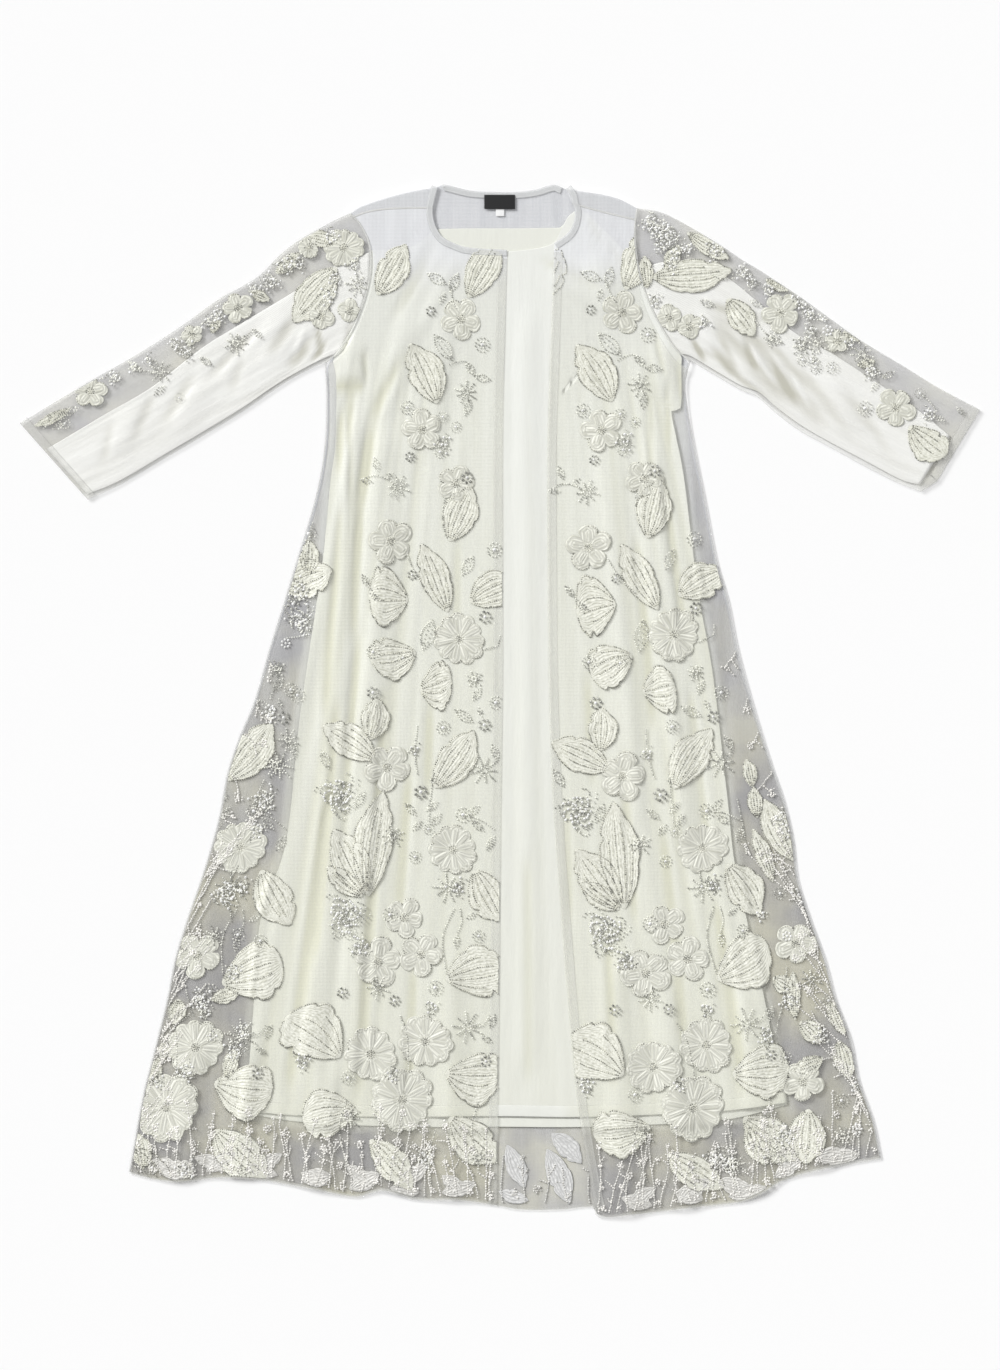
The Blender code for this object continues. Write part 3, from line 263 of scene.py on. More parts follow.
def woven_look(name, light, dark, roughness, sheen, creases, threads, bump=0.4, painted_shade=None):
    """A woven cloth: two tints mixed by its mottle, with threads and soft creases in its surface.

    painted_shade is its painted shade tint where its own shade mark is 1, down in its folds.
    """
    look, tree, surface = new_look(name)
    woven = on_cloth(tree, WOVEN, Threads=threads, Creases=creases)
    tint = blend(tree, woven["Mottle"], dark, light)
    fill(tree, surface, {"Base Color": blend(tree, marked(tree, "shade"), tint, painted_shade or dark),
                         "Normal": relief(tree, woven["Height"], bump, 0.004), "Roughness": roughness,
                         "Sheen Weight": sheen, "Sheen Roughness": 0.4})
    return look


# The satin's last tint is its painted shade, for its folds and creases.
SATIN = woven_look("cream_satin", (0.84, 0.85, 0.81), (0.80, 0.81, 0.76), 0.34, 0.12, 1.0, 1400.0,
                   painted_shade=(0.70, 0.70, 0.57))


def flat_uv(points):
    """The place of each point on a cloth that is laid out on the garment's own axes, in metres."""
    return np.asarray(points)[..., :2] * MM


def level(amount):
    """A function of a place that gives the same amount everywhere."""
    return lambda x, y: np.full(np.shape(x), amount)


def cloth_sheet(name, edges, u, v, height, look, **marks):
    """A sheet of cloth between four edges. Its height and its marks are functions of a place."""
    plan = patch(*edges, u, v)
    x, y = plan[..., 0], plan[..., 1]
    points = np.dstack([plan, height(x, y)])
    return make_piece(name, points, grid_faces(*x.shape), look, flat_uv(points),
                      **{key: given(x, y) for key, given in marks.items()})


satin_left = edge_line(SATIN_SIDE_LEFT[::-1], SATIN_ARMHOLE_LEFT[::-1])
satin_right = edge_line(SATIN_SIDE_RIGHT[::-1], SATIN_ARMHOLE_RIGHT[::-1])
edges = (edge_line(SATIN_HEM_BACK), edge_line(SATIN_SHOULDER_LEFT, SATIN_NECK_BACK, SATIN_SHOULDER_RIGHT),
         satin_left, satin_right)
# Its shade mark mixes a quarter of the satin's painted shade tint into its colour, evenly all over.
satin_back = cloth_sheet("satin_lining_back", edges, close_ends(50), close_ends(60),
                         level(SATIN_BACK_LEVEL), SATIN, shade=level(0.25))
give_wall(satin_back, SATIN_WALL)
dress(satin_back, "satin", "satin_back")

# The front of the satin lining: one piece from side to side, with a scooped neck and a turned hem.
# It shows bare between the two net fronts, and through them. Its soft folds run down with the flare.

SATIN_NECK_FRONT = [(-90, 660), (-80, 643), (-59, 633), (-28, 629), (14, 629), (56, 634), (76, 642),
                    (87, 662)]
SATIN_HEM_FRONT = [(-356, -576), (-280, -582), (-140, -584), (0, -583), (126, -584), (308, -576),
                   (402, -564)]
SATIN_FRONT_LEVEL = 3.5
SATIN_FRONT_LOWEST = 2.7
UNDERARM = 474
FLARE_LENGTH = 1010

# Large folds, as columns x and y of the upper end, x and y of the lower end, width, height

FOLDS = [
    (-205, 420, -268, -560, 60, 3.5), (-160, 400, -205, -560, 62, 3.5), (-112, 560, -178, 380, 58, 2.6),
    (-70, 560, -108, 330, 56, 2.0), (-206, 520, -207, 425, 56, 2.6), (115, 625, 178, 520, 56, 2.6),
    (222, 520, 232, 415, 52, 2.4), (205, 380, 262, -220, 60, 3.2), (152, 420, 190, -200, 60, 2.6),
    (38, 560, 40, -540, 52, 1.8), (157, -340, 183, -790, 66, 3.4), (231, -380, 268, -790, 66, 3.2),
    (336, -380, 384, -790, 70, 3.4), (424, -420, 466, -790, 62, 2.8), (-70, -330, -64, -790, 66, 3.4),
    (-150, -460, -152, -790, 64, 3.2), (-244, -480, -262, -790, 68, 3.4), (-345, -440, -372, -790, 68, 3.4),
    (-426, -460, -454, -790, 60, 2.8), (-400, 470, -470, 350, 62, 2.0), (-500, 440, -545, 330, 60, 2.0),
    (-300, 560, -330, 450, 60, 2.0), (320, 560, 372, 440, 62, 2.0), (440, 480, 505, 360, 62, 2.0),
]


def soft_step(t):
    """A soft step 3t^2 - 2t^3 from 0 to 1 as t goes from 0 to 1."""
    t = np.clip(t, 0, 1)
    return t * t * (3 - 2 * t)


def fold_shares(x, y, widen=1.0, rows=FOLDS):
    """Each fold's share of its height: (1 + cos(pi d / half)) / 2 across it, faded out at its ends."""
    shares = []
    for x_top, y_top, x_low, y_low, width, height in rows:
        run = np.array([x_low - x_top, y_low - y_top], float)
        length = np.linalg.norm(run)
        way = run / length
        down = (x - x_top) * way[0] + (y - y_top) * way[1]
        across = np.abs((y - y_top) * way[0] - (x - x_top) * way[1])
        half = width * widen / 2
        hump = np.where(across < half, 0.5 + 0.5 * np.cos(np.pi * across / half), 0)
        fade = min(60.0, length / 2.5)
        shares.append(hump * soft_step(down / fade) * soft_step((length - down) / fade))
    return np.array(shares)


def fold_height(x, y, rows=FOLDS):
    """How far folds lift the upper cloths: the sum of each one's height times its share."""
    return np.tensordot(np.array([row[5] for row in rows]), fold_shares(x, y, rows=rows), axes=1)


def flare(x, y):
    """Where a point stands across the garment once its flare is taken out.

    It is x / (1 + (underarm - y) / flare length).
    """
    return x / np.maximum(1 + (UNDERARM - y) / FLARE_LENGTH, 0.8)


def ripples(x, y, waves):
    """Soft folds that fan out with the flare: the sum of a cos(2 pi (f / length + phase)) over the waves.

    Each wave also drifts sideways and swells and fades on its way down.
    """
    f = flare(x, y)
    total = np.zeros_like(f)
    for height, length, phase, drift in waves:
        swell = 0.6 + 0.4 * np.cos(y / 190 + 9 * phase)
        way = f / length + phase + drift * np.sin(y / 230 + 5 * phase)
        total += height * swell * np.cos(2 * np.pi * way)
    return total


# Small creases and ridges, in the columns of the folds: the valleys have heights below zero

CREASES = [
    (-130, 500, -184, 380, 24, -2.2), (-178, 400, -198, 250, 24, -2.6), (-194, 290, -206, 60, 22, -2.2),
    (-209, 460, -211, 250, 18, -1.5), (-190, 500, -187, 430, 16, -1.6), (-222, 300, -246, -40, 20, -1.8),
    (-225, 20, -262, -380, 22, -2.0), (-198, 110, -222, -250, 20, -1.8), (-240, -120, -300, -560, 24, -2.2),
    (-98, 20, -102, -150, 22, -2.0), (-126, -80, -142, -320, 24, -1.8), (-160, 40, -176, -200, 20, -1.6),
    (-60, 250, -62, 40, 20, -1.2), (-176, -220, -196, -560, 24, -1.8), (-120, -350, -128, -580, 22, -1.6),
    (-81, 660, -156, 520, 26, -1.5), (-50, 640, -120, 500, 30, 1.0), (-104, 668, -130, 632, 16, -1.1),
    (-150, 640, -160, 560, 18, -1.2), (112, 694, 152, 628, 16, -1.5), (150, 640, 182, 600, 16, -1.5),
    (156, 676, 184, 622, 14, -1.4), (48, 622, 156, 570, 20, -1.6), (60, 600, 150, 540, 24, 1.0),
    (214, 530, 234, 440, 14, -1.8), (234, 474, 237, 330, 16, -1.6), (250, 500, 257, 400, 16, -1.6),
    (205, 480, 216, 250, 20, -1.4), (226, 330, 262, 60, 20, -1.8), (190, 250, 216, -60, 22, -1.8),
    (120, 60, 132, -140, 22, -1.6), (262, 40, 300, -260, 22, -2.0), (170, -60, 190, -330, 22, -1.6),
    (225, -160, 262, -500, 24, -1.8), (300, -260, 345, -560, 24, -2.0), (150, -300, 160, -560, 22, -1.5),
    (92, -120, 100, -330, 18, -1.2), (38, -200, 40, -560, 24, -0.9), (272, 548, 306, 516, 18, 1.3),
    (300, 524, 340, 446, 18, -1.8), (330, 540, 390, 470, 26, -1.6), (262, 500, 320, 470, 16, -1.3),
    (-280, 548, -330, 470, 26, -1.6), (-250, 520, -300, 470, 18, -1.5), (-330, 530, -420, 440, 22, -1.4),
    (283, 557, 345, 538, 20, -2.2), (290, 506, 333, 452, 20, -2.6), (340, 515, 361, 452, 16, -2.2),
    (305, 538, 391, 450, 20, 1.6), (294, 484, 391, 408, 16, -2.2), (362, 522, 440, 425, 20, -1.8),
    (272, 535, 311, 484, 16, 1.4), (400, 490, 500, 360, 26, -1.4), (470, 450, 560, 330, 26, -1.2),
    (290, 560, 420, 400, 56, -2.2), (372, 470, 470, 372, 40, -1.8), (-262, 500, -300, 462, 24, -2.0),
    (-300, 545, -400, 440, 30, 1.2), (-420, 470, -480, 372, 26, -1.4), (-480, 440, -520, 350, 24, -1.2),
    (-540, 400, -560, 320, 22, -1.1), (-350, 520, -380, 420, 26, -1.3),
    (-222, 430, -226, 300, 14, -2.2), (-214, 380, -216, 250, 12, 1.4), (345, 500, 400, 425, 14, 1.8),
    (372, 492, 420, 405, 14, -2.2), (402, 470, 440, 398, 14, 1.4), (330, 560, 372, 520, 30, -1.4),
    (-256, 534, -250, 474, 13, -3.4), (-240, 508, -266, 470, 12, -3.0), (264, 516, 290, 468, 14, -3.6),
    (-270, 530, -290, 470, 14, 1.4), (-205, 545, -222, 470, 12, -1.8),
]
SATIN_WAVES = [(0.5, 61.0, 0.1, 0.10), (0.6, 34.0, 0.45, 0.14), (0.5, 19.5, 0.8, 0.16),
               (0.26, 11.5, 0.3, 0.2)]


def drape(x, y):
    """The small folds that the cloths share: the creases, and ripples that are strongest at the sides."""
    sides = 0.22 + 0.78 * soft_step((np.abs(flare(x, y) - 22) - 45) / 110)
    sides = sides * soft_step((560 - y) / 160)
    return 1.3 * fold_height(x, y, CREASES) + 1.15 * sides * ripples(x, y, SATIN_WAVES)


def under_arm_fold(x, y):
    """The lip of satin that is folded over below the left arm: a low shelf with a sharp lower edge."""
    across = soft_step((x + 234) / 10) * soft_step((-184 - x) / 10)
    return 1.9 * across * soft_step((y - 446) / 4) * soft_step((540 - y) / 90)


def satin_height(x, y):
    """The middle of the front satin's wall, never lower than the satin back below it."""
    height = SATIN_FRONT_LEVEL + fold_height(x, y) + drape(x, y) + under_arm_fold(x, y)
    return np.maximum(height, SATIN_FRONT_LOWEST)


def painted_fold_shade(x, y):
    """Painted shade for the satin, from 0 to 1: more the lower it lies in its creases, a painted shadow below
    the folded lip, and a little more towards the hem.
    """
    # Painted shade grows as a crease lies lower, and a painted shadow lies in a band below the lip.
    low = np.clip(-drape(x, y) / 2.6, 0, 1)
    painted_lip_shadow = soft_step((x + 236) / 6) * soft_step((-188 - x) / 8) * np.exp(-((y - 440) / 8) ** 2)
    return np.clip(0.95 * low + 1.3 * painted_lip_shadow + 0.35 * np.clip((450 - y) / 1000, 0, 1), 0, 1)


edges = (edge_line(SATIN_HEM_FRONT), edge_line(SATIN_SHOULDER_LEFT, SATIN_NECK_FRONT, SATIN_SHOULDER_RIGHT),
         satin_left, satin_right)
satin_front = cloth_sheet("satin_lining_front", edges, close_ends(160), close_ends(140), satin_height, SATIN,
                          shade=painted_fold_shade)
give_wall(satin_front, SATIN_WALL)
dress(satin_front, "satin", "satin_front")

# The satin sleeves: each a plain tube of the same satin, pressed flat inside the net sleeve.
# They are set into the armholes and end a little short of the net cuffs.

ARMHOLE_LEFT = [(-210, 682), (-196, 667), (-185, 646), (-181, 624), (-182, 596), (-190, 561),
                (-207, 519), (-227, 488), (-244, 474)]
ARMHOLE_RIGHT = [(192, 689), (189, 665), (190, 634), (196, 596), (207, 561), (224, 526),
                 (245, 493), (266, 476)]
SATIN_SLEEVE_LEFT_TOP = [(-181, 628), (-231, 608), (-295, 568), (-365, 526), (-419, 492), (-487, 439),
                         (-552, 401), (-587, 380), (-634, 352)]
SATIN_SLEEVE_RIGHT_TOP = [(195, 603), (231, 614), (280, 610), (328, 585), (405, 520), (466, 485),
                          (532, 442), (588, 404), (630, 370)]
SATIN_SLEEVE_LEFT_LOW = [(-229, 486), (-254, 476), (-308, 446), (-364, 408), (-420, 374), (-476, 341),
                         (-532, 308), (-578, 289)]
SATIN_SLEEVE_RIGHT_LOW = [(252, 486), (268, 482), (298, 464), (336, 442), (364, 431), (388, 410),
                          (424, 384), (462, 362), (507, 338), (560, 310), (588, 302)]
SATIN_SLEEVE_WALL = 0.6
SATIN_SLEEVE_UNDER = 1.7
SATIN_SLEEVE_LEVEL = 3.6
SATIN_SLEEVE_LOWEST = 2.5


def sleeve_ripples(x, y):
    """Soft folds along a sleeve: cosines of a = 0.55 |x| + y, at a / 9.5, a / 4.6 and a / 2.7.

    Each drifts, and the first two swell and fade, with |x| - 0.6 y.
    """
    across = np.abs(x) * 0.55 + y
    down = np.abs(x) - 0.6 * y
    return (0.55 * np.cos(across / 9.5 + 0.8 * np.sin(down / 70)) * (0.6 + 0.4 * np.cos(down / 55))
            + 0.35 * np.cos(across / 4.6 + 1.1 * np.sin(down / 45)) * (0.5 + 0.5 * np.sin(down / 60))
            + 0.2 * np.cos(across / 2.7 + 1.6 * np.sin(down / 38)))


def sleeve_drape(x, y):
    """The small folds of the sleeves: their own ripples and the creases that reach them."""
    return fold_height(x, y, CREASES) + 0.45 * sleeve_ripples(x, y)


def flat_sleeve(start, end, upper, lower, rows, columns, under, over):
    """A tube pressed flat, as points, places on the cloth and how much painted shade each point takes.

    With the angle a round the tube, a point lies (1 - cos a) / 2 of the way from the upper edge to
    the lower one, and its height goes between under and over with sin a to the power 0.4. The painted
    shade is the share that faces down, and it falls away again at the lower edge.
    """
    angle = 2 * np.pi * np.arange(columns) / columns - np.pi / 2
    rows_at = np.linspace(0, 1, rows)
    plan = patch(start, end, upper, lower, (1 - np.cos(angle)) / 2, rows_at)
    side = np.sign(np.sin(angle)) * np.abs(np.sin(angle)) ** 0.4
    top = over(plan[..., 0], plan[..., 1])
    height = (top + under) / 2 + side * (top - under) / 2
    places = np.dstack(np.broadcast_arrays(0.4 * np.arange(columns)[None] / columns, 0.55 * rows_at[:, None]))
    edge_ease = soft_step(((1 - np.cos(angle)) / 2 - 0.9) / 0.06)
    shade = np.broadcast_to((1 - side) / 2 * (1 - 0.85 * edge_ease), plan.shape[:2])
    return np.dstack([plan, height]), places, shade


def satin_sleeve_height(x, y):
    """The middle of the satin sleeve's upper wall."""
    return np.maximum(SATIN_SLEEVE_LEVEL + fold_height(x, y) + sleeve_drape(x, y), SATIN_SLEEVE_LOWEST)


# The sleeve satin's last tint is a painted shade for its creases.
SATIN_SLEEVE = woven_look("cream_satin_sleeve", (0.91, 0.91, 0.89), (0.87, 0.87, 0.84), 0.32, 0.12, 1.0,
                          1400.0, painted_shade=(0.52, 0.51, 0.43))
for side, armhole, upper, lower in (
        ("left", [(-181, 628)] + SATIN_ARMHOLE_LEFT[2:6], SATIN_SLEEVE_LEFT_TOP, SATIN_SLEEVE_LEFT_LOW),
        ("right", SATIN_ARMHOLE_RIGHT[:5], SATIN_SLEEVE_RIGHT_TOP, SATIN_SLEEVE_RIGHT_LOW)):
    points, places, shade = flat_sleeve(
        edge_line(armhole), np.array([upper[-1], lower[-1]], float), edge_line(upper), edge_line(lower),
        90, 110, SATIN_SLEEVE_UNDER, satin_sleeve_height)
    # Painted shade: the lower a crease lies, the more of the painted shade tint it takes.
    painted_shade = np.clip(-sleeve_drape(points[..., 0], points[..., 1]) / 3.2, 0, 1)
    satin_sleeve = make_piece("satin_sleeve_" + side, points, grid_faces(90, 110, True), SATIN_SLEEVE, places,
                              shade=painted_shade)
    give_wall(satin_sleeve, SATIN_SLEEVE_WALL)
    dress(satin_sleeve, "satin", "sleeve_satin_" + side)

# The back of the net robe: one sheet of fine tulle that lies on the surface under everything.
# It shows in the neck, beside and below the satin, and between the fronts at the hem.

NECK_BACK = [(-87, 719), (-76, 722), (-42, 714), (-7, 712), (22, 712), (49, 715), (74, 722), (92, 716)]
SHOULDER_FOLD_LEFT = [(-210, 682), (-196, 691), (-168, 701), (-140, 709), (-112, 715), (-87, 719)]
SHOULDER_FOLD_RIGHT = [(92, 716), (112, 713), (140, 709), (167, 702), (192, 689)]
SIDE_LEFT = [(-244, 474), (-242, 421), (-245, 351), (-258, 281), (-284, 194), (-300, 141), (-322, 71),
             (-342, 1), (-364, -52), (-381, -104), (-393, -167), (-413, -237), (-437, -307),
             (-454, -363), (-465, -419), (-486, -503), (-500, -559), (-518, -660)]
SIDE_RIGHT = [(266, 476), (259, 451), (260, 421), (272, 351), (286, 281), (302, 197), (318, 141),
              (332, 71), (351, 1), (377, -83), (396, -139), (409, -195), (416, -251), (434, -307),
              (454, -363), (469, -419), (490, -475), (501, -531), (521, -587), (532, -640)]
HEM_LEFT = [(-518, -660), (-490, -668), (-448, -673), (-392, -667), (-336, -670), (-294, -677),
            (-252, -685), (-203, -694), (-168, -685), (-140, -691), (-112, -698), (-56, -699), (-4, -706)]
HEM_BACK = [(-4, -706), (28, -712), (84, -712), (129, -708), (136, -719)]
HEM_RIGHT = [(136, -719), (148, -723), (196, -718), (280, -708), (336, -701), (364, -690), (392, -673),
             (420, -663), (476, -650), (532, -640)]
NET_BACK_LEVEL = 0.6


def spread_out(tree, value, low, high, first=0.0, last=1.0):
    """A value from low to high spread out from first to last, and held there beyond."""
    values = {"Value": value, "From Min": low, "From Max": high, "To Min": first, "To Max": last}
    return add_node(tree, "ShaderNodeMapRange", values, clamp=True)["Result"]


def net_group():
    """A node group for tulle: the walls of small six-sided cells, and how closely they are worked."""
    tree, enter, leave = new_group("tulle_mesh", {"Cells": 520.0}, ("Threads", "Mottle", "Streaks"))
    place = enter["Vector"]
    walls = add_node(tree, "ShaderNodeTexVoronoi",
                     {"Vector": place, "Scale": enter["Cells"], "Randomness": 0.25},
                     feature="DISTANCE_TO_EDGE")["Distance"]
    streaks = noise(tree, stretched(tree, place, (60.0, 4.0, 60.0)), 1.0, 3.0)
    fill(tree, leave, {"Threads": spread_out(tree, walls, 0.05, 0.16, 1.0, 0.0),
                       "Mottle": noise(tree, place, 9.0, 3.0),
                       "Streaks": spread_out(tree, streaks, 0.4, 0.68)})
    return tree


TULLE = net_group()


def net_look(name, light, dark, cover, thread_cover, painted_shade_cover=0.0, apart=None, veil_cover=0.0):
    """Sheer tulle: cover is how much the ground hides, thread_cover what the cell walls add.

    Where its shade mark is 1, painted_shade_cover is added and its tint turns to apart, a painted shade for
    where it lies under another layer or away from the satin. Where its veil mark is 1 it hides more and
    shows whiter.
    """
    look, tree, surface = new_look(name)
    tulle = on_cloth(tree, TULLE)
    # below is the shade mark, how much painted shade the tulle takes; that tint goes between a cooler and a
    # warmer copy of apart with the mottle.
    below, veil = marked(tree, "shade"), marked(tree, "veil")
    cool, warm = ([c * k for c, k in zip(apart or dark, shares)]
                  for shares in ((0.93, 0.92, 0.97), (1.36, 1.33, 1.16)))
    painted_shade_tint = blend(tree, spread_out(tree, tulle["Mottle"], 0.38, 0.62), cool, warm)
    tint = blend(tree, below, blend(tree, tulle["Mottle"], dark, light), painted_shade_tint)
    hidden = product(tree, tulle["Threads"], thread_cover, cover)
    hidden = product(tree, tulle["Streaks"], 0.12, hidden)
    hidden = product(tree, below, painted_shade_cover, hidden, True)
    fill(tree, surface, {"Base Color": blend(tree, veil, tint, (0.89, 0.90, 0.92)),
                         "Alpha": product(tree, veil, veil_cover, hidden, True), "Roughness": 0.6,
                         "Sheen Weight": 0.1})
    return look


# The back net's grey is a painted shade, and each apart tint is a darker painted shade.
SHADED_NET_BACK = net_look("tulle_under_layer_painted_shade", (0.60, 0.62, 0.66), (0.50, 0.51, 0.54), 0.26, 0.28, 0.14,
                    apart=(0.45, 0.45, 0.41))
NET_FRONT = net_look("tulle_upper_layer", (0.90, 0.90, 0.80), (0.82, 0.82, 0.71), 0.10, 0.22, 0.12,
                     apart=(0.45, 0.445, 0.42), veil_cover=0.5)

side_left, side_right = edge_line(SIDE_LEFT), edge_line(SIDE_RIGHT)
armhole_left, armhole_right = edge_line(ARMHOLE_LEFT), edge_line(ARMHOLE_RIGHT)
outer_left = np.vstack([side_left[::-1], armhole_left[::-1]])
outer_right = np.vstack([side_right[::-1], armhole_right[::-1]])
edges = (edge_line(HEM_LEFT, HEM_BACK, HEM_RIGHT),
         edge_line(SHOULDER_FOLD_LEFT, NECK_BACK, SHOULDER_FOLD_RIGHT), outer_left, outer_right)
# Painted shade on the back net grows towards the hem.
net_back = cloth_sheet("net_back", edges, np.linspace(0, 1, 80), np.linspace(0, 1, 76), level(NET_BACK_LEVEL),
                       SHADED_NET_BACK, shade=lambda x, y: soft_step((300 - y) / 700))
dress(net_back, "net", "back_net")

# The shoulders: the back net runs over the top of the shoulder and forwards to the shoulder seam.
# Each is the strip between the fold and the seam, and it lies over the satin.

SHOULDER_SEAM_LEFT = [(-206, 677), (-182, 685), (-148, 689), (-94, 690)]
SHOULDER_SEAM_RIGHT = [(101, 696), (140, 685), (190, 673)]

NET_YOKE = net_look("tulle_folded_double", (0.86, 0.87, 0.89), (0.80, 0.81, 0.82), 0.40, 0.25)
for side, fold, seam in (("left", SHOULDER_FOLD_LEFT, SHOULDER_SEAM_LEFT),
                         ("right", SHOULDER_FOLD_RIGHT, SHOULDER_SEAM_RIGHT)):
    turn = np.linspace(0, 1, 12)[:, None]
    shares = np.linspace(0, 1, 40)
    fold_line, seam_line = along(edge_line(fold), shares), along(edge_line(seam), shares)
    run = np.clip((turn - 0.35) / 0.65, 0, 1)[:, :, None]
    plan = fold_line[None] * (1 - run) + seam_line[None] * run
    height = np.broadcast_to(0.7 + 4.0 * np.sin(np.pi / 2 * np.clip(turn / 0.35, 0, 1)), plan.shape[:2])
    points = np.dstack([plan, height])
    yoke = make_piece("net_shoulder_" + side, points, grid_faces(12, 40), NET_YOKE, flat_uv(points))
    dress(yoke, "net")

# The two net fronts: tulle panels from the shoulder seam to the hem, open down the middle.
# They lie over the satin front, step down to the back net beside it, and carry the applique.

FRONT_EDGE_LEFT = [(10, 631), (4, 379), (4, 57), (1, -209), (-1, -419), (-4, -706)]
FRONT_EDGE_RIGHT = [(76, 640), (69, 449), (66, 337), (67, 141), (69, 1), (74, -139), (84, -279),
                    (95, -419), (108, -559), (126, -671), (136, -719)]
NECK_FRONT_LEFT = [(-94, 690), (-94, 680), (-90, 664), (-80, 649), (-63, 640), (-42, 634), (10, 631)]
NECK_FRONT_RIGHT = [(76, 640), (94, 653), (102, 666), (105, 684), (101, 696)]
NET_LEVEL = 1.9
NET_LOWEST = 1.5
NET_ABOVE_SATIN = 1.25
NET_WAVES = [(0.22, 43.0, 0.3, 0.12), (0.16, 19.0, 0.7, 0.14), (0.10, 10.5, 0.15, 0.12)]


def over_satin_share(x, y):
    """1 where the front net lies over the satin, falling softly to 0 past the satin's edges."""
    step_right = SATIN_SIDE_RIGHT[:2] + SATIN_SIDE_RIGHT[4:]
    left, right, hem = (np.array(line, float).T for line in (SATIN_SIDE_LEFT, step_right, SATIN_HEM_BACK))
    sideways = np.maximum(np.interp(-y, -left[1], left[0]) - x, x - np.interp(-y, -right[1], right[0]))
    sideways = sideways - 40 * soft_step((y - 455) / 25)
    beyond = np.maximum(sideways, np.interp(x, *hem) - y)
    return 1 - soft_step((beyond - 2) / 12)


def slack(x, y):
    """How far the net stands off where the large folds lift it."""
    return np.clip(2 * np.sum(fold_shares(x, y, 1.6), axis=0), 0, 1)


def net_height(x, y):
    """The front net: over the satin and its folds, and down to the back net past the satin's edges."""
    alone = np.maximum(NET_LEVEL + fold_height(x, y) + 0.35 * drape(x, y), NET_LOWEST)
    rise = satin_height(x, y) + NET_ABOVE_SATIN - alone
    return alone + rise * over_satin_share(x, y) + slack(x, y) + ripples(x, y, NET_WAVES)


def shoulder_whitening(x, y):
    """How much whiter and more covering the front net is made towards the shoulders."""
    return 0.4 * soft_step((y - 380) / 160) + 0.6 * soft_step((y - 560) / 70)


left_front = (edge_line(HEM_LEFT), edge_line(SHOULDER_SEAM_LEFT), outer_left,
              edge_line(FRONT_EDGE_LEFT[::-1], NECK_FRONT_LEFT[::-1]))
right_front = (edge_line(HEM_RIGHT), edge_line(SHOULDER_SEAM_RIGHT),
               edge_line(FRONT_EDGE_RIGHT[::-1], NECK_FRONT_RIGHT), outer_right)
for side, edges, area in (("left", left_front, 0.50), ("right", right_front, 0.47)):
    # Painted shade: past the satin's edges the front net turns to its grey apart tint.
    net_front = cloth_sheet("net_front_" + side, edges, np.linspace(0, 1, 112), np.linspace(0, 1, 170),
                            net_height, NET_FRONT, shade=lambda x, y: 1 - over_satin_share(x, y),
                            veil=shoulder_whitening)
    dress(net_front, "net", "front_net_" + side)

# The net sleeves: tulle tubes pressed flat round the satin sleeves, open at the cuffs.
# The upper edge stands clear of the satin, so that the two layers of net show alone there.

SLEEVE_LEFT_TOP = [(-210, 682), (-238, 669), (-280, 645), (-308, 624), (-336, 596), (-364, 578),
                   (-392, 563), (-448, 523), (-504, 487), (-560, 455), (-616, 422), (-672, 388)]
SLEEVE_LEFT_LOW = [(-244, 474), (-280, 457), (-308, 440), (-364, 402), (-420, 368), (-476, 335),
                   (-532, 302), (-577, 281)]
SLEEVE_RIGHT_TOP = [(192, 689), (224, 684), (252, 671), (280, 655), (308, 638), (336, 619), (364, 602),
                    (416, 568), (448, 545), (504, 505), (560, 471), (612, 439), (672, 407)]
SLEEVE_RIGHT_LOW = [(266, 476), (293, 460), (336, 435), (360, 425), (384, 404), (420, 377), (459, 356),
                    (504, 331), (533, 316), (560, 303), (589, 292)]
NET_SLEEVE_LEVEL = 5.0
NET_SLEEVE_LOWEST = 3.7
CUFF_LEFT = [(-672, 388), (-577, 281)]
CUFF_RIGHT = [(672, 407), (612, 307), (589, 292)]
# The sleeve net's apart tint is a painted shade on the tube's lower layer.
NET_SLEEVE = net_look("tulle_sleeve", (0.88, 0.88, 0.84), (0.80, 0.80, 0.76), 0.05, 0.14, 0.42,
                      apart=(0.50, 0.50, 0.50))


def sleeve_height(x, y):
    """The upper layer of the net sleeve."""
    height = NET_SLEEVE_LEVEL + fold_height(x, y) + slack(x, y) + sleeve_drape(x, y)
    return np.maximum(height, NET_SLEEVE_LOWEST)


for side, armhole, cuff, upper, lower in (
        ("left", armhole_left, CUFF_LEFT, SLEEVE_LEFT_TOP, SLEEVE_LEFT_LOW),
        ("right", armhole_right, CUFF_RIGHT, SLEEVE_RIGHT_TOP, SLEEVE_RIGHT_LOW)):
    points, places, shade = flat_sleeve(armhole, np.array(cuff, float), edge_line(upper), edge_line(lower),
                                        90, 100, NET_BACK_LEVEL, sleeve_height)
    net_sleeve = make_piece("net_sleeve_" + side, points, grid_faces(90, 100, True), NET_SLEEVE, places,
                            shade=shade)
    dress(net_sleeve, "net", "sleeve_net_" + side)

# The petal leaves: corded ivory applique sewn on the net fronts, the sleeves and the net beside them.
# Each is a softly padded leaf with a notched edge and veins that fan out from its base, laid with fine
# cord. The veins and the edge are drawn in rows of beads.

LEAF_ROWS = 34
LEAF_COLUMNS = 25
LEAF_UNDER = 8

# Half the width of a leaf along it: the share of its length, and of half its widest

LEAF_WIDTHS = [(0.0, 0.06), (0.08, 0.34), (0.22, 0.72), (0.42, 0.98), (0.58, 1.0), (0.74, 0.82), (0.88, 0.46),
               (0.96, 0.18), (1.0, 0.0)]
FAN_WIDTHS = [(0.0, 0.05), (0.08, 0.28), (0.28, 0.68), (0.54, 0.98), (0.7, 1.0), (0.84, 0.86), (0.94, 0.52),
              (1.0, 0.0)]

# The veins: how far across the leaf, and how far along it they reach

VEINS = [(-0.62, 0.6), (-0.24, 0.8), (0.14, 0.84), (0.5, 0.66)]

# One repeat of the embroidery. Leaves: kind, x and y of the base, length, width, turn in degrees

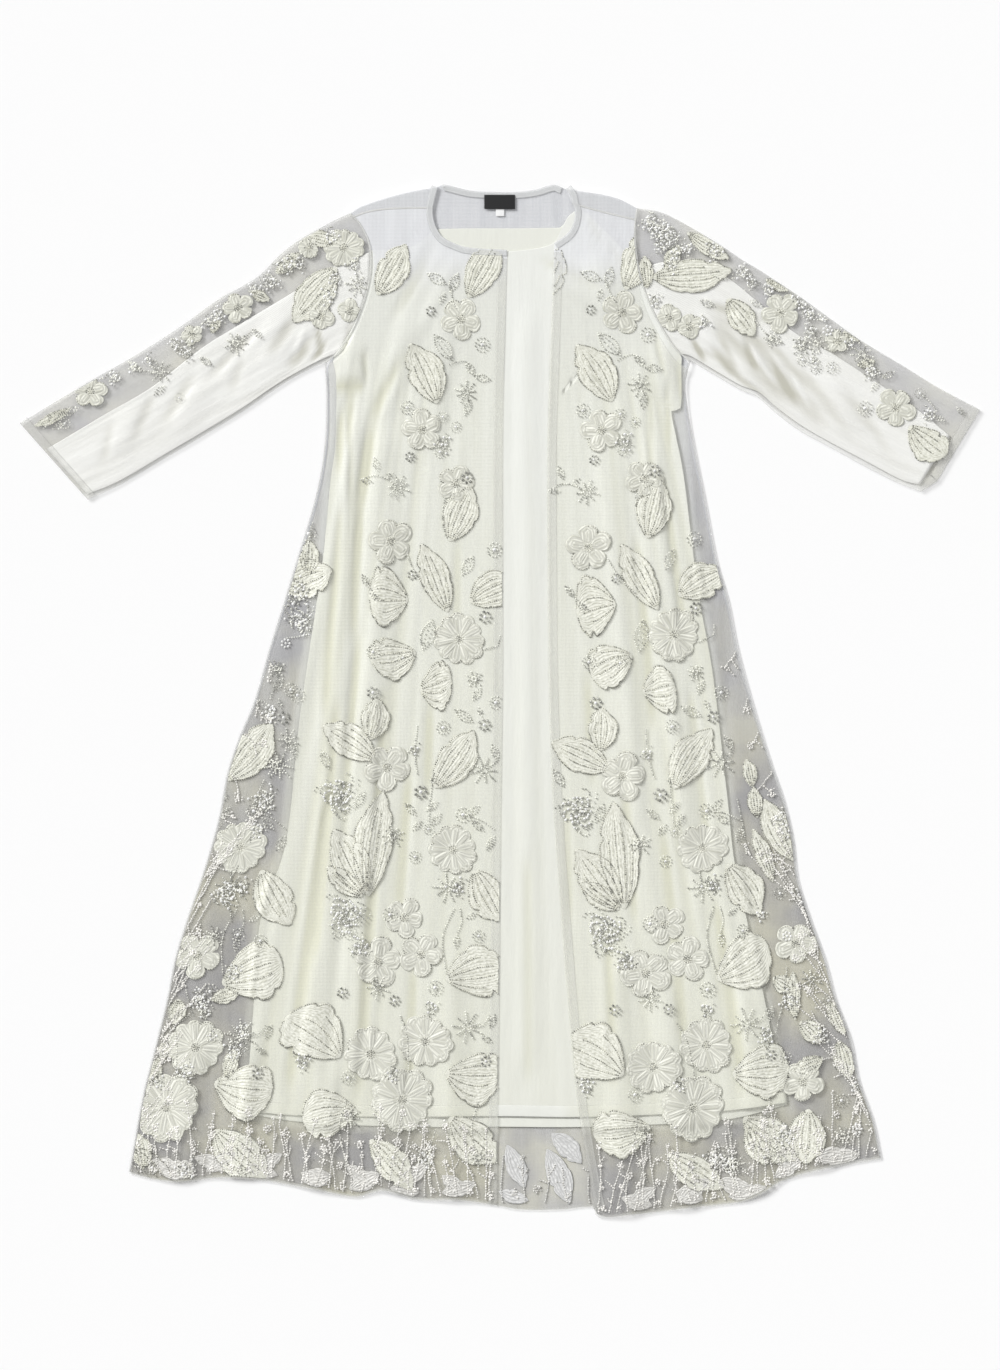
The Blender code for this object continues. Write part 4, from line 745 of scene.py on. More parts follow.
CHART_LEAVES = [
    ("leaf", -172, 568, 82, 46, 55), ("leaf", -45, 564, 92, 48, 59), ("leaf", -88, 416, 92, 53, 109),
    ("leaf", -71, 223, 83, 50, 65), ("leaf", -73, 124, 103, 43, 108), ("leaf", -42, 138, 75, 53, 26),
    ("fan", -129, 141, 55, 87, 180), ("fan", -118, 68, 64, 64, -161), ("fan", -112, 15, 46, 70, 5),
    ("leaf", -183, -55, 61, 42, 74), ("leaf", -175, -82, 88, 48, 147), ("leaf", -92, -122, 98, 53, 53),
    ("leaf", -185, -274, 149, 56, 84), ("leaf", -190, -270, 100, 53, 116),
    ("leaf", -193, -274, 65, 31, 139), ("leaf", -36, -237, 83, 53, -61), ("fan", -76, -390, 85, 78, 18),
    ("fan", -224, -499, 94, 87, 136), ("fan", -76, -522, 78, 78, -10), ("fan", -200, -575, 78, 70, -173),
    ("leaf", -71, -584, 94, 59, -44), ("leaf", -182, -615, 92, 46, -45),
]

# Where the repeat lies: turn in degrees, stretch, x and y of the shift

REPEATS = {"front_left": [(0.0, 1.0, 0.0, 0.0), (-4.4, 1.06, -277.0, 10.0)],
           "front_right": [(9.4, 1.02, 315.0, 15.0)]}
MORE_LEAVES = {
    "front_left": [("leaf", -270, 176, 50, 28, 82), ("leaf", -500, -656, 52, 30, 95),
        ("leaf", -478, -500, 42, 18, -105), ("leaf", -471, -478, 26, 14, -95),
        ("leaf", -450, -418, 36, 26, -95), ("leaf", -384, -530, 46, 22, 75),
        ("leaf", -404, -420, 40, 22, 20)],
    "front_right": [("leaf", 411, -224, 96, 40, 116), ("leaf", 420, -450, 42, 30, -40),
        ("leaf", 474, -476, 56, 30, -78), ("leaf", 432, -572, 78, 56, -98),
        ("leaf", 348, -594, 62, 36, -70), ("leaf", 382, -388, 34, 26, -30),
        ("leaf", 353, -121, 40, 20, 100), ("leaf", 382, -254, 80, 24, 108),
        ("leaf", 413, -447, 68, 20, 92), ("leaf", 461, -419, 54, 22, -65), ("leaf", 360, -164, 44, 22, 95),
        ("leaf", 452, -500, 44, 26, -150)],
    "sleeve_left": [("leaf", -229, 606, 98, 52, -131), ("leaf", -602, 409, 56, 14, -151),
        ("leaf", -314, 598, 44, 20, 40), ("leaf", -404, 514, 24, 13, 60), ("leaf", -232, 640, 40, 24, 160),
        ("leaf", -350, 572, 30, 16, -20)],
    "sleeve_right": [("leaf", 262, 655, 70, 24, -32), ("leaf", 213, 593, 113, 48, 1),
        ("leaf", 206, 577, 46, 22, 98), ("leaf", 318, 562, 64, 38, -49), ("fan", 573, 384, 66, 50, -47),
        ("leaf", 232, 602, 40, 22, 60), ("leaf", 372, 590, 36, 14, -30), ("leaf", 480, 516, 30, 14, -20),
        ("leaf", 500, 470, 26, 14, 10)],
}


def turned(x, y, degrees, move_x, move_y):
    """Points turned anticlockwise about zero and then moved."""
    angle = math.radians(degrees)
    return (x * math.cos(angle) - y * math.sin(angle) + move_x,
            x * math.sin(angle) + y * math.cos(angle) + move_y)


def laid(chart, repeats):
    """A chart's rows at each place where its repeat lies. A leaf's last number is its turn."""
    rows = []
    for turn, stretch, move_x, move_y in repeats:
        for kind, x, y, *sizes in chart:
            place = turned(x * stretch, y * stretch, turn, move_x, move_y)
            rows.append((kind, *place, *(size * stretch for size in sizes[:2]),
                         *(aim + turn for aim in sizes[2:])))
    return rows


def depth_inside(x, y, outline):
    """How far points lie inside a closed outline, below zero outside it, and the nearest edge point."""
    points = np.stack([x.ravel(), y.ravel()], axis=1)
    run = np.roll(outline, -1, axis=0) - outline
    reach = points[:, None] - outline[None]
    share = np.clip((reach * run).sum(2) / np.maximum((run * run).sum(1), 1e-9), 0, 1)
    places = outline[None] + share[:, :, None] * run
    gap = ((points[:, None] - places) ** 2).sum(2)
    best = gap.argmin(1)
    rise = np.where(np.abs(run[:, 1]) < 1e-9, 1e-9, run[:, 1])
    crosses = (outline[:, 1] > points[:, 1:]) != (outline[:, 1] + run[:, 1] > points[:, 1:])
    meets = outline[:, 0] + (points[:, 1:] - outline[:, 1]) / rise * run[:, 0]
    inside = (crosses & (points[:, :1] < meets)).sum(1) % 2 == 1
    row = np.arange(len(points))
    depth = np.sqrt(gap[row, best]) * np.where(inside, 1, -1)
    return depth.reshape(x.shape), places[row, best].reshape(*x.shape, 2)


def kept_inside(x, y, outline, margin=1.5):
    """Points held inside an outline: one beyond it is moved to its edge and a little inwards."""
    depth, edge = depth_inside(x, y, outline)
    away = np.stack([x, y], axis=-1) - edge
    away *= (np.sign(depth) / np.maximum(np.abs(depth), 1e-6))[..., None]
    held = edge + away * margin
    out = depth < margin
    return np.where(out, held[..., 0], x), np.where(out, held[..., 1], y)


def panel_outline(low, top, left, right):
    """The closed outline of a panel from its four edges."""
    count = np.linspace(0, 1, 60)
    return np.vstack([along(low, count)[:-1], along(right, count)[:-1], along(top[::-1], count)[:-1],
                      along(left[::-1], count)[:-1]])


def leaf_point(s, t, leaf):
    """A place on a leaf: s runs from its base to its tip, t from -1 at one edge to 1 at the other.

    The edge follows the table of widths, cut by notches 1 - d exp(-((s - place) / 0.035)^2) on one
    side or the other, and the tip leans to one side with s^3. The height is a rim that falls to the
    net, a low pad, and a valley exp(-((t - vein) / 0.11)^2) along each vein.
    """
    kind, x, y, length, width, aim = leaf
    fan = kind == "fan"
    phase = 0.9 * x + 1.7 * y
    table = smooth_points(FAN_WIDTHS if fan else LEAF_WIDTHS)
    half = width / 2 * np.maximum(np.interp(s, table[:, 0], table[:, 1]), 0.0)
    side = np.where(t * math.cos(phase) >= 0, 1.0, 0.0)
    outer = soft_step((np.abs(t) - 0.45) / 0.5)
    for place, depth, on in ((0.66, 0.24, side), (0.82, 0.16, 1 - side), (0.46, 0.09, 1 - side),
                             (0.9, 0.2, side), (0.3, 0.06, side)):
        at = place + 0.05 * math.sin(2.3 * phase + 9 * place)
        half = half * (1 - 0.9 * depth * on * outer * np.exp(-((s - at) / 0.035) ** 2))
    half = half * (1 + 0.035 * np.sin(15 * s + phase + 2 * np.sign(t)) * s)
    lobes = 0.07 * (1 - np.abs(np.cos(1.6 * np.pi * t + phase))) * (1 - s) * s ** 3 * 4
    forward = length * (s - (lobes if fan else 0.5 * lobes))
    bow = width * (0.05 * np.sin(np.pi * s) * math.sin(phase) + 0.17 * s ** 3 * math.cos(phase))
    x_now, y_now = turned(forward, t * half + bow, aim, x, y)
    rim = np.clip((1 - np.abs(t)) * half / 1.6, 0, 1) ** 0.5
    rim = rim * np.clip(s * length / 3, 0, 1) * np.clip((1 - s) * length / 2.5, 0, 1)
    valleys = sum(np.exp(-((t - vein) / 0.11) ** 2) * soft_step((reach + 0.08 - s) / 0.16)
                  for vein, reach in VEINS)
    pad = 0.7 + 0.3 * np.sqrt(np.clip(1 - t * t, 0, 1)) + 0.12 * np.sin(9 * s + 5 * t + phase)
    return x_now, y_now, rim * (0.52 * pad - 0.2 * valleys) + 0.16


UNDERSIDE = -0.1
SHARE_ON_PANEL = 0.45


def applique_piece(name, forms, every, apart, surface_height, outline, look):
    """One mesh of the padded forms that mostly lie on a panel, each given as x, y, height and its cloth.

    every picks the points that are looked at, and apart parts the cloths of one form and the next.
    """
    points, faces, places, first = [], [], [], 0
    for x, y, height, *cloth in forms:
        if np.mean(depth_inside(x[every], y[every], outline)[0] > 0) < SHARE_ON_PANEL:
            continue
        x, y = kept_inside(x, y, outline)
        faces.append(grid_faces(*x.shape, True, first))
        first += x.size
        points.append(np.dstack([x, y, surface_height(x, y) + height]).reshape(-1, 3))
        place = np.dstack(np.broadcast_arrays(*cloth)) * MM + np.multiply(apart, len(places))
        places.append(place.reshape(-1, 2))
    piece = make_piece(name, np.vstack(points), np.vstack(faces), look, np.vstack(places), merge=True)
    dress(piece, "net")


def leaves_piece(name, leaves, surface_height, outline, look):
    """All the leaves of one panel: each goes over from edge to edge, and flat back under."""
    s = np.linspace(0, 1, LEAF_ROWS)[:, None]
    under = np.linspace(1, -1, LEAF_UNDER + 2)[1:-1]
    t = np.concatenate([np.linspace(-1, 1, LEAF_COLUMNS), under])[None, :]
    forms = []
    for leaf in leaves:
        x, y, height = leaf_point(s, t, leaf)
        height[:, LEAF_COLUMNS:] = UNDERSIDE
        forms.append((x, y, height, s * leaf[3], t * leaf[4] / 2))
    applique_piece(name, forms, np.s_[::6, ::5], (0.13, 0.13), surface_height, outline, look)


def cord_group():
    """A node group for laid cord: rows of fine cord, broken into stitches, with loops between them, and masks
    for painted shade in its hollows.
    """
    tree, enter, leave = new_group("laid_cord", {"Rows": 55.0, "Loops": 420.0, "Wander": 4.0},
                                   ("Height", "Speckle_Shade", "Groove_Shade"))
    place = enter["Vector"]
    rows = add_node(tree, "ShaderNodeTexWave",
                    {"Vector": place, "Scale": enter["Rows"], "Distortion": enter["Wander"], "Detail": 2.0,
                     "Detail Scale": 1.6}, bands_direction="Y")["Fac"]
    loops = add_node(tree, "ShaderNodeTexVoronoi", {"Vector": place, "Scale": enter["Loops"]},
                     feature="F1")["Distance"]
    fill(tree, leave, {"Height": product(tree, loops, -0.9, rows),
                       "Speckle_Shade": spread_out(tree, loops, 0.25, 0.75),
                       "Groove_Shade": spread_out(tree, rows, 0.45, 0.05)})
    return tree


LAID_CORD = cord_group()


def corded_look(name, light, dark, rows, loops, bump, wander=4.0, groove=0.7):
    """Ivory cord work: light on its cords, with painted shade between its loops, and relief as bump.

    groove is the share of the light tint that is left in the painted shade between its rows.
    """
    look, tree, surface = new_look(name)
    cord = on_cloth(tree, LAID_CORD, Rows=rows, Loops=loops, Wander=wander)
    tint = blend(tree, cord["Speckle_Shade"], light, dark)
    tint = blend(tree, cord["Groove_Shade"], tint, [groove * c for c in light])
    fill(tree, surface, {"Base Color": tint, "Normal": relief(tree, cord["Height"], bump, 0.0012),
                         "Roughness": 0.55, "Sheen Weight": 0.25})
    return look


# The dark tint is the painted shade between the loops.
CORDED = corded_look("ivory_corded_applique", (0.86, 0.86, 0.77), (0.60, 0.60, 0.51), 70.0, 260.0, 0.32,
                     groove=0.92)

PANELS = {
    "front_left": (net_height, panel_outline(*left_front)),
    "front_right": (net_height, panel_outline(*right_front)),
    "sleeve_left": (sleeve_height, panel_outline(edge_line(SLEEVE_LEFT_LOW), edge_line(SLEEVE_LEFT_TOP),
                                                 armhole_left[::-1], np.array(CUFF_LEFT[::-1], float))),
    "sleeve_right": (sleeve_height, panel_outline(edge_line(SLEEVE_RIGHT_LOW), edge_line(SLEEVE_RIGHT_TOP),
                                                  armhole_right[::-1], np.array(CUFF_RIGHT[::-1], float))),
}


def everywhere(chart, more):
    """The rows of each panel: its repeats of a chart, and more of its own."""
    return {name: laid(chart, REPEATS.get(name, [])) + more[name] for name in PANELS}


LEAVES = everywhere(CHART_LEAVES, MORE_LEAVES)
for name, panel in PANELS.items():
    leaves_piece("leaves_" + name, LEAVES[name], *panel, CORDED)

# The flowers: corded ivory applique, five-petalled blossoms and many-petalled daisies.
# The petals are rimmed with cord and ribbed, and they meet in a small hollow that holds beads.

FLOWER_RINGS = 12
FLOWER_COLUMNS = {"blossom": 70, "daisy": 99, "round": 60}

# Flowers of the same repeat: kind, x and y of the middle, width

CHART_FLOWERS = [
    ("blossom", -55, 534, 59), ("blossom", -109, 379, 59), ("blossom", -62, 304, 53),
    ("blossom", -153, 223, 64), ("daisy", -57, 86, 73), ("blossom", -158, -94, 67),
    ("daisy", -66, -209, 70), ("blossom", -134, -304, 56), ("blossom", -171, -366, 70),
    ("blossom", -111, -356, 62), ("daisy", -181, -495, 76), ("daisy", -105, -477, 76),
    ("daisy", -137, -559, 90),
]
MORE_FLOWERS = {
    "front_left": [],
    "front_right": [("blossom", 414, -340, 60), ("blossom", 424, -534, 58)],
    "sleeve_left": [("daisy", -219, 634, 56), ("daisy", -268, 634, 30), ("round", -250, 538, 38),
        ("round", -211, 546, 34), ("blossom", -367, 550, 44), ("blossom", -431, 512, 30),
        ("blossom", -574, 433, 48)],
    "sleeve_right": [("blossom", 393, 543, 56), ("blossom", 472, 503, 34), ("blossom", 554, 410, 56),
        ("round", 237, 536, 38), ("round", 266, 524, 36)],
}


def flower_point(r, angle, flower):
    """A place on a flower: r runs from its middle to its rim, angle round it.

    The rim lies at W/2 (1 - d + d |cos(n angle / 2)|^p) for n petals. Also given is how far the place
    lies from the line down its petal's middle, and how far round it: the cords are laid by these.
    """
    kind, x, y, width = flower
    phase = 0.7 * x + 1.3 * y
    petals, dip, power = {"blossom": (5, 0.40, 0.38), "daisy": (11, 0.17, 0.5), "round": (4, 0.24, 0.6)}[kind]
    petal = np.abs(np.cos(petals * angle / 2))
    uneven = 1 + 0.05 * np.sin(2 * angle + phase) + 0.04 * np.sin(3 * angle + 2 * phase)
    reach = r * width / 2 * (1 - dip + dip * petal ** power) * uneven
    x_now = x + reach * np.cos(angle + phase)
    y_now = y + reach * np.sin(angle + phase)
    edge = np.clip((1 - r) * width / 2 / 1.8, 0, 1) ** 0.5
    groove = 1 - 0.85 * (1 - petal) ** (1.6 if kind == "daisy" else 2.2) * np.clip(r * 4 - 0.5, 0, 1)
    middle = np.round(angle * petals / (2 * np.pi)) * 2 * np.pi / petals
    near, far = (0.1, 0.38) if kind == "daisy" else (0.17, 0.31)
    over = reach * np.cos(angle - middle)
    over = np.maximum(over - far * width, 0) + np.minimum(over - near * width, 0)
    aside = reach * np.sin(angle - middle)
    from_middle = np.hypot(over, aside)
    form = 0.6 + 0.25 * np.clip(1 - from_middle / (0.2 * width), 0, 1)
    hollow = 0.45 + 0.55 * soft_step(r / 0.22)
    return (x_now, y_now, edge * groove * hollow * form + 0.2, from_middle,
            0.1 * width * (np.arctan2(aside, over + 1e-6) + 7 * middle))


def flowers_piece(name, flowers, surface_height, outline, look):
    """All the flowers of one panel: each goes over from its middle to its rim, and flat back under."""
    over = np.sin(np.pi / 2 * np.linspace(0, 1, FLOWER_RINGS)) ** 0.9
    rings = np.append(over, [0.8, 0.6, 0.4, 0.2, 0.0])[:, None]
    forms = []
    for flower in flowers:
        columns = FLOWER_COLUMNS[flower[0]]
        angle = (2 * np.pi * np.arange(columns) / columns)[None, :]
        x, y, height, from_middle, around = flower_point(rings, angle, flower)
        height[FLOWER_RINGS:] = UNDERSIDE
        forms.append((x, y, height, around, from_middle))
    applique_piece(name, forms, np.s_[::4, ::6], (0.17, 0.0), surface_height, outline, look)


PETALS = corded_look("ivory_corded_petals", (0.86, 0.86, 0.77), (0.58, 0.58, 0.50), 72.0, 280.0, 0.36, 5.0)
FLOWERS = everywhere(CHART_FLOWERS, MORE_FLOWERS)
for name, panel in PANELS.items():
    flowers_piece("flowers_" + name, FLOWERS[name], *panel, PETALS)

# The seed beads: small silver-lined glass beads sewn in rows round each leaf and along its veins,
# round the petals, and as a little cluster in the middle of each flower.

SEED_STEP = 3.0
SEED_RADIUS = 1.15
BEAD_TIP = 0.85


def row_of_beads(line, step=SEED_STEP):
    """Places about one step apart along a line of points."""
    count = max(1, round(np.sum(np.linalg.norm(np.diff(line, axis=0), axis=1)) / step))
    return along(line, (np.arange(count) + 0.5) / count)


def bead_piece(name, places, radius, look, rounds=4):
    """Many beads as one mesh: each is two cones of a few sides, base to base.

    A bead has its girdle at r (cos a, sin a, 0), turned by an angle of its own, and a tip above and
    below it at 0.85 r.
    """
    radius = np.broadcast_to(radius, len(places))
    angle = 2 * np.pi * np.arange(rounds) / rounds
    girdle = np.stack([np.cos(angle), np.sin(angle), 0 * angle], axis=1)
    form = np.vstack([(0.0, 0.0, -BEAD_TIP), girdle, (0.0, 0.0, BEAD_TIP)])
    spin = 2.4 * np.arange(len(places))
    turn = np.array([[np.cos(spin), -np.sin(spin)], [np.sin(spin), np.cos(spin)]])
    flat = np.einsum("ijn,kj->nki", turn, form[:, :2])
    shape = np.dstack([flat, np.broadcast_to(form[:, 2], flat.shape[:2])])
    points = places[:, None] + shape * radius[:, None, None]
    here = 1 + np.arange(rounds)
    after = np.roll(here, -1)
    one = np.vstack([np.stack([0 * here, after, here], 1), np.stack([here, after, 0 * here + rounds + 1], 1)])
    faces = one[None] + (rounds + 2) * np.arange(len(places))[:, None, None]
    piece = make_piece(name, points, faces.reshape(-1, 3), look)
    piece.data.shade_flat()
    dress(piece, "net")


def bead_look(name, colour, roughness, metallic, spread):
    """Glass beads: each a little lighter or darker than the next, by where it lies."""
    look, tree, surface = new_look(name)
    place = add_node(tree, "ShaderNodeTexCoord", {})["Object"]
    patches = add_node(tree, "ShaderNodeTexVoronoi", {"Vector": place, "Scale": 330.0}, feature="F1")["Color"]
    red = add_node(tree, "ShaderNodeSeparateColor", {"Color": patches})["Red"]
    lighter = [min(1.0, c * (1 + spread)) for c in colour]
    darker = [c * (1 - spread) for c in colour]
    fill(tree, surface, {"Base Color": blend(tree, spread_out(tree, red, 0.4, 0.75), lighter, darker),
                         "Roughness": roughness, "Metallic": metallic})
    return look


SEED_GLASS = bead_look("silver_lined_seed_beads", (0.52, 0.515, 0.46), 0.3, 0.12, 0.6)


def on_panel(rows, outline, margin=1.0):
    """Rows of places, each without those that don't lie well inside an outline."""
    return [row[depth_inside(row[:, 0], row[:, 1], outline)[0] > margin] for row in rows]


def leaf_beads(leaves, surface_height):
    """Rows of beads round each leaf and along its veins."""
    rows = []
    s = np.linspace(0.03, 0.985, 60)
    for leaf in leaves:
        lines = [(s, np.full(60, t)) for t in (-0.96, 0.96)]
        lines += [(np.linspace(0.05, reach, 40), np.full(40, t)) for t, reach in VEINS]
        for at_s, at_t in lines:
            x, y, height = leaf_point(at_s, at_t, leaf)
            line = row_of_beads(np.stack([x, y, surface_height(x, y) + height], axis=1))
            rows.append(line + (0, 0, 0.6 * SEED_RADIUS))
    return rows


def flower_beads(flowers, surface_height):
    """Rows of beads round the petals of each flower, and the cluster in its middle."""
    rows = []
    angle = np.linspace(0, 2 * np.pi, 240)
    for flower in flowers:
        phase = 0.7 * flower[1] + 1.3 * flower[2]
        some = np.sin(2 * angle + phase) > (-0.2 if flower[0] == "daisy" else 0.25)
        x, y, height = flower_point(np.full(240, 0.95), angle, flower)[:3]
        rim = np.stack([x, y, surface_height(x, y) + height], axis=1)
        rows += [row_of_beads(part, 3.4) for part in np.split(rim, np.flatnonzero(np.diff(some)) + 1)[::2]
                 if len(part) > 8]
        for radius, count in ((0.0, 1), (2.9, 6), (5.5, 11)):
            around = 2 * np.pi * np.arange(count) / count + phase
            x = flower[1] + radius * np.cos(around)
            y = flower[2] + radius * np.sin(around)
            rows.append(np.stack([x, y, surface_height(x, y) + 1.7 - 0.05 * radius ** 1.5], axis=1))
    return rows


for name, (surface_height, outline) in PANELS.items():
    rows = leaf_beads(LEAVES[name], surface_height) + flower_beads(FLOWERS[name], surface_height)
    bead_piece("seed_beads_" + name, np.vstack(on_panel(rows, outline)), SEED_RADIUS, SEED_GLASS)

# The bead motifs between the flowers: rosettes, bursts, dense clusters, small beaded leaves and twigs.
# They are silver-lined glass beads and cut crystals, sewn through the net.

# Rosettes of the repeat: x, y, radius, and 1 where the beads are dark

ROSETTES = [
    (-97, 545, 8, 1), (-25, 498, 11, 0), (-130, 410, 10, 0), (-80, 397, 8, 0), (-62, 383, 8, 0),
    (-84, 348, 9, 0), (-126, 341, 8, 1), (-46, 312, 10, 1), (-8, 211, 11, 0), (-123, 176, 8, 1),
    (-21, 117, 10, 1), (-178, 68, 10, 0), (-178, 11, 10, 1), (-80, -38, 10, 0), (-22, -34, 10, 1),
    (-6, -3, 10, 0), (-111, -128, 11, 1), (-52, -160, 11, 0), (-119, -219, 9, 0), (-211, -325, 10, 0),
    (-154, -300, 11, 0), (-91, -402, 11, 0), (-221, -409, 9, 1), (-213, -528, 10, 0), (-100, -180, 8, 0),
    (-148, -420, 9, 1), (-30, -330, 9, 0), (-136, 60, 8, 0), (-20, -505, 9, 1), (-150, -640, 9, 0),
]

# Bursts and clusters of the repeat: x, y, radius

BURSTS = [
    (-48, 432, 17), (-143, 299, 20), (-22, -97, 22), (-74, -262, 21), (-171, -402, 17), (-46, -457, 25),
    (-36, 30, 14), (-150, -190, 15), (-210, -585, 18), (-30, -640, 18),
]
CLUSTERS = [
    (-227, -132, 30), (-217, -300, 32), (-60, -262, 14), (-80, 360, 13), (-196, -345, 18),
    (-120, -70, 10), (-96, -430, 12), (-150, -525, 12), (-276, -505, 14), (-104, -640, 18),
]

# Small beaded leaves of the repeat: x and y of the base, x and y of the tip

BEAD_LEAVES = [
    (-102, 598, -76, 583), (-59, 598, -70, 572), (-78, 570, -84, 556), (-92, 512, -67, 477),
    (-48, 474, -36, 456), (-36, 454, -14, 449), (-42, 421, -49, 400), (-195, 309, -180, 306),
    (-172, 322, -176, 340), (-161, 312, -150, 318), (-95, 113, -108, 71), (-53, 176, -38, 202),
    (-38, 1, -27, 17), (-63, -13, -39, -30), (-30, -10, -26, -22), (-11, -62, -3, -83),
    (-133, -144, -119, -160), (-88, -142, -103, -154), (-95, -174, -84, -158), (-123, -181, -110, -170),
    (-18, -209, -8, -190), (-95, -118, -92, -102), (-193, 176, -184, 160), (-182, 150, -168, 140),
    (-44, -160, -30, -148), (-40, -168, -24, -182), (-46, -305, -34, -298), (-60, -328, -62, -346),
    (-7, -440, -14, -458), (-26, -470, -12, -478), (-205, -150, -190, -128), (-240, -95, -250, -70),
]

# Stems of the repeat: the points that each row of beads follows

STEMS = [
    [(-70, 583), (-66, 560), (-60, 548)], [(-73, 470), (-60, 474), (-48, 474), (-38, 458)],
    [(-195, 309), (-178, 315), (-161, 312), (-150, 302)], [(-77, 285), (-80, 260), (-76, 232)],
    [(-27, 71), (-12, 74), (-3, 78), (0, 92)], [(-193, 176), (-182, 158), (-170, 142)],
    [(-116, -34), (-119, -70), (-116, -104)], [(-52, -160), (-30, -166), (-7, -181)],
    [(-56, -290), (-54, -310), (-60, -326)], [(-46, -457), (-26, -455), (-14, -440)],
    [(-95, -118), (-98, -140), (-100, -170)], [(-130, 205), (-120, 180), (-100, 150)],
    [(-64, -290), (-80, -330), (-76, -380)], [(-140, -440), (-130, -470), (-128, -520)],
    [(-30, -560), (-40, -600), (-30, -650)], [(-90, -600), (-100, -640), (-96, -680)],
    [(-215, -560), (-225, -600), (-215, -650)],
]

LIGHT_GLASS = bead_look("light_silver_beads", (0.66, 0.66, 0.61), 0.25, 0.1, 0.46)
DARK_GLASS = bead_look("dark_silver_beads", (0.43, 0.43, 0.40), 0.18, 0.2, 0.5)
CRYSTAL = bead_look("cut_crystal_beads", (0.92, 0.92, 0.89), 0.08, 0.15, 0.12)


def ring_places(count, radius, start=0.0):
    """Places round a ring, flat: r (cos a, sin a)."""
    angle = 2 * np.pi * np.arange(count) / count + start
    return np.stack([radius * np.cos(angle), radius * np.sin(angle)], axis=1)


def rosette_places(radius):
    """Two rings of beads: six, and twelve round them."""
    return np.vstack([ring_places(6, 0.42 * radius), ring_places(12, 0.88 * radius, 0.2)])


def burst_places(radius, start):
    """Rays of beads: nine rays, every second one shorter."""
    angle = 2 * np.pi * np.arange(9) / 9 + start
    reach = np.arange(0.24 * radius, radius, 3.8)[:, None] * np.where(np.arange(9) % 2, 0.8, 1.0)[None]
    return np.stack([reach * np.cos(angle), reach * np.sin(angle)], axis=-1).reshape(-1, 2)


def cluster_places(radius, start):
    """Beads packed like seeds: the k-th lies near r sqrt((k + 0.5) / n), turned by 2.4 k."""
    count = int((radius / 2.15) ** 2)
    k = np.arange(count)
    reach = radius * np.sqrt((k + 0.5) / count) * (1 + 0.22 * np.sin(5.1 * k + start))
    angle = 2.4 * k + start
    uneven = 0.75 + 0.25 * np.sin(3 * angle + start)
    return np.stack([reach * np.cos(angle) * uneven, 1.1 * reach * np.sin(angle) * uneven], axis=1)


def bead_leaf_places(x0, y0, x1, y1):
    """A small pointed leaf filled with beads: four bowed rows from base to tip."""
    length = math.hypot(x1 - x0, y1 - y0)
    s = np.linspace(0, 1, max(4, round(length / 2.9)))
    sides = [np.stack([x0 + (x1 - x0) * s - (y1 - y0) * bow * np.sin(np.pi * s),
                       y0 + (y1 - y0) * s + (x1 - x0) * bow * np.sin(np.pi * s)], axis=1)
             for bow in (-0.21, 0.21, -0.07, 0.07)]
    return np.vstack([sides[0], sides[1][1:-1], sides[2][1:-1:2], sides[3][2:-1:2]])


def laid_places(places, repeats):
    """Flat places at each place where the repeat lies."""
    rows = [turned(places[:, 0] * stretch, places[:, 1] * stretch, turn, move_x, move_y)
            for turn, stretch, move_x, move_y in repeats]
    return np.vstack([np.stack(row, axis=1) for row in rows])


def motif_places(rosettes, bursts, clusters, bead_leaves, stems):
    """The flat places of light beads, dark beads and crystals that make up the motifs, with radii."""
    light, dark, crystal = [], [], []
    for x, y, radius, is_dark in rosettes:
        if is_dark:
            dark.append((ring_places(7, 0.7 * radius) + (x, y), 0.23 * radius))
        else:
            light.append((rosette_places(radius) + (x, y), 0.14 * radius))
        crystal.append((np.array([(x, y)], float), 0.24 * radius))
    for x, y, radius in bursts:
        light.append((burst_places(radius, 0.1 * x) + (x, y), 1.65))
    for x, y, radius in clusters:
        spots = cluster_places(radius, 0.1 * y) + (x, y)
        light.append((spots[::2], 1.6))
        dark.append((spots[1::6], 1.3))
        light.append((spots[3::6], 1.4))
        crystal.append((spots[5::6], 2.0))
    for row in bead_leaves:
        light.append((bead_leaf_places(*row), 1.4))
    for stem in stems:
        light.append((row_of_beads(smooth_points(stem), 3.4), 1.35))
    return light, dark, crystal


# Motifs on the sleeves and at the sides: rosettes, bursts, clusters, small beaded leaves and stems

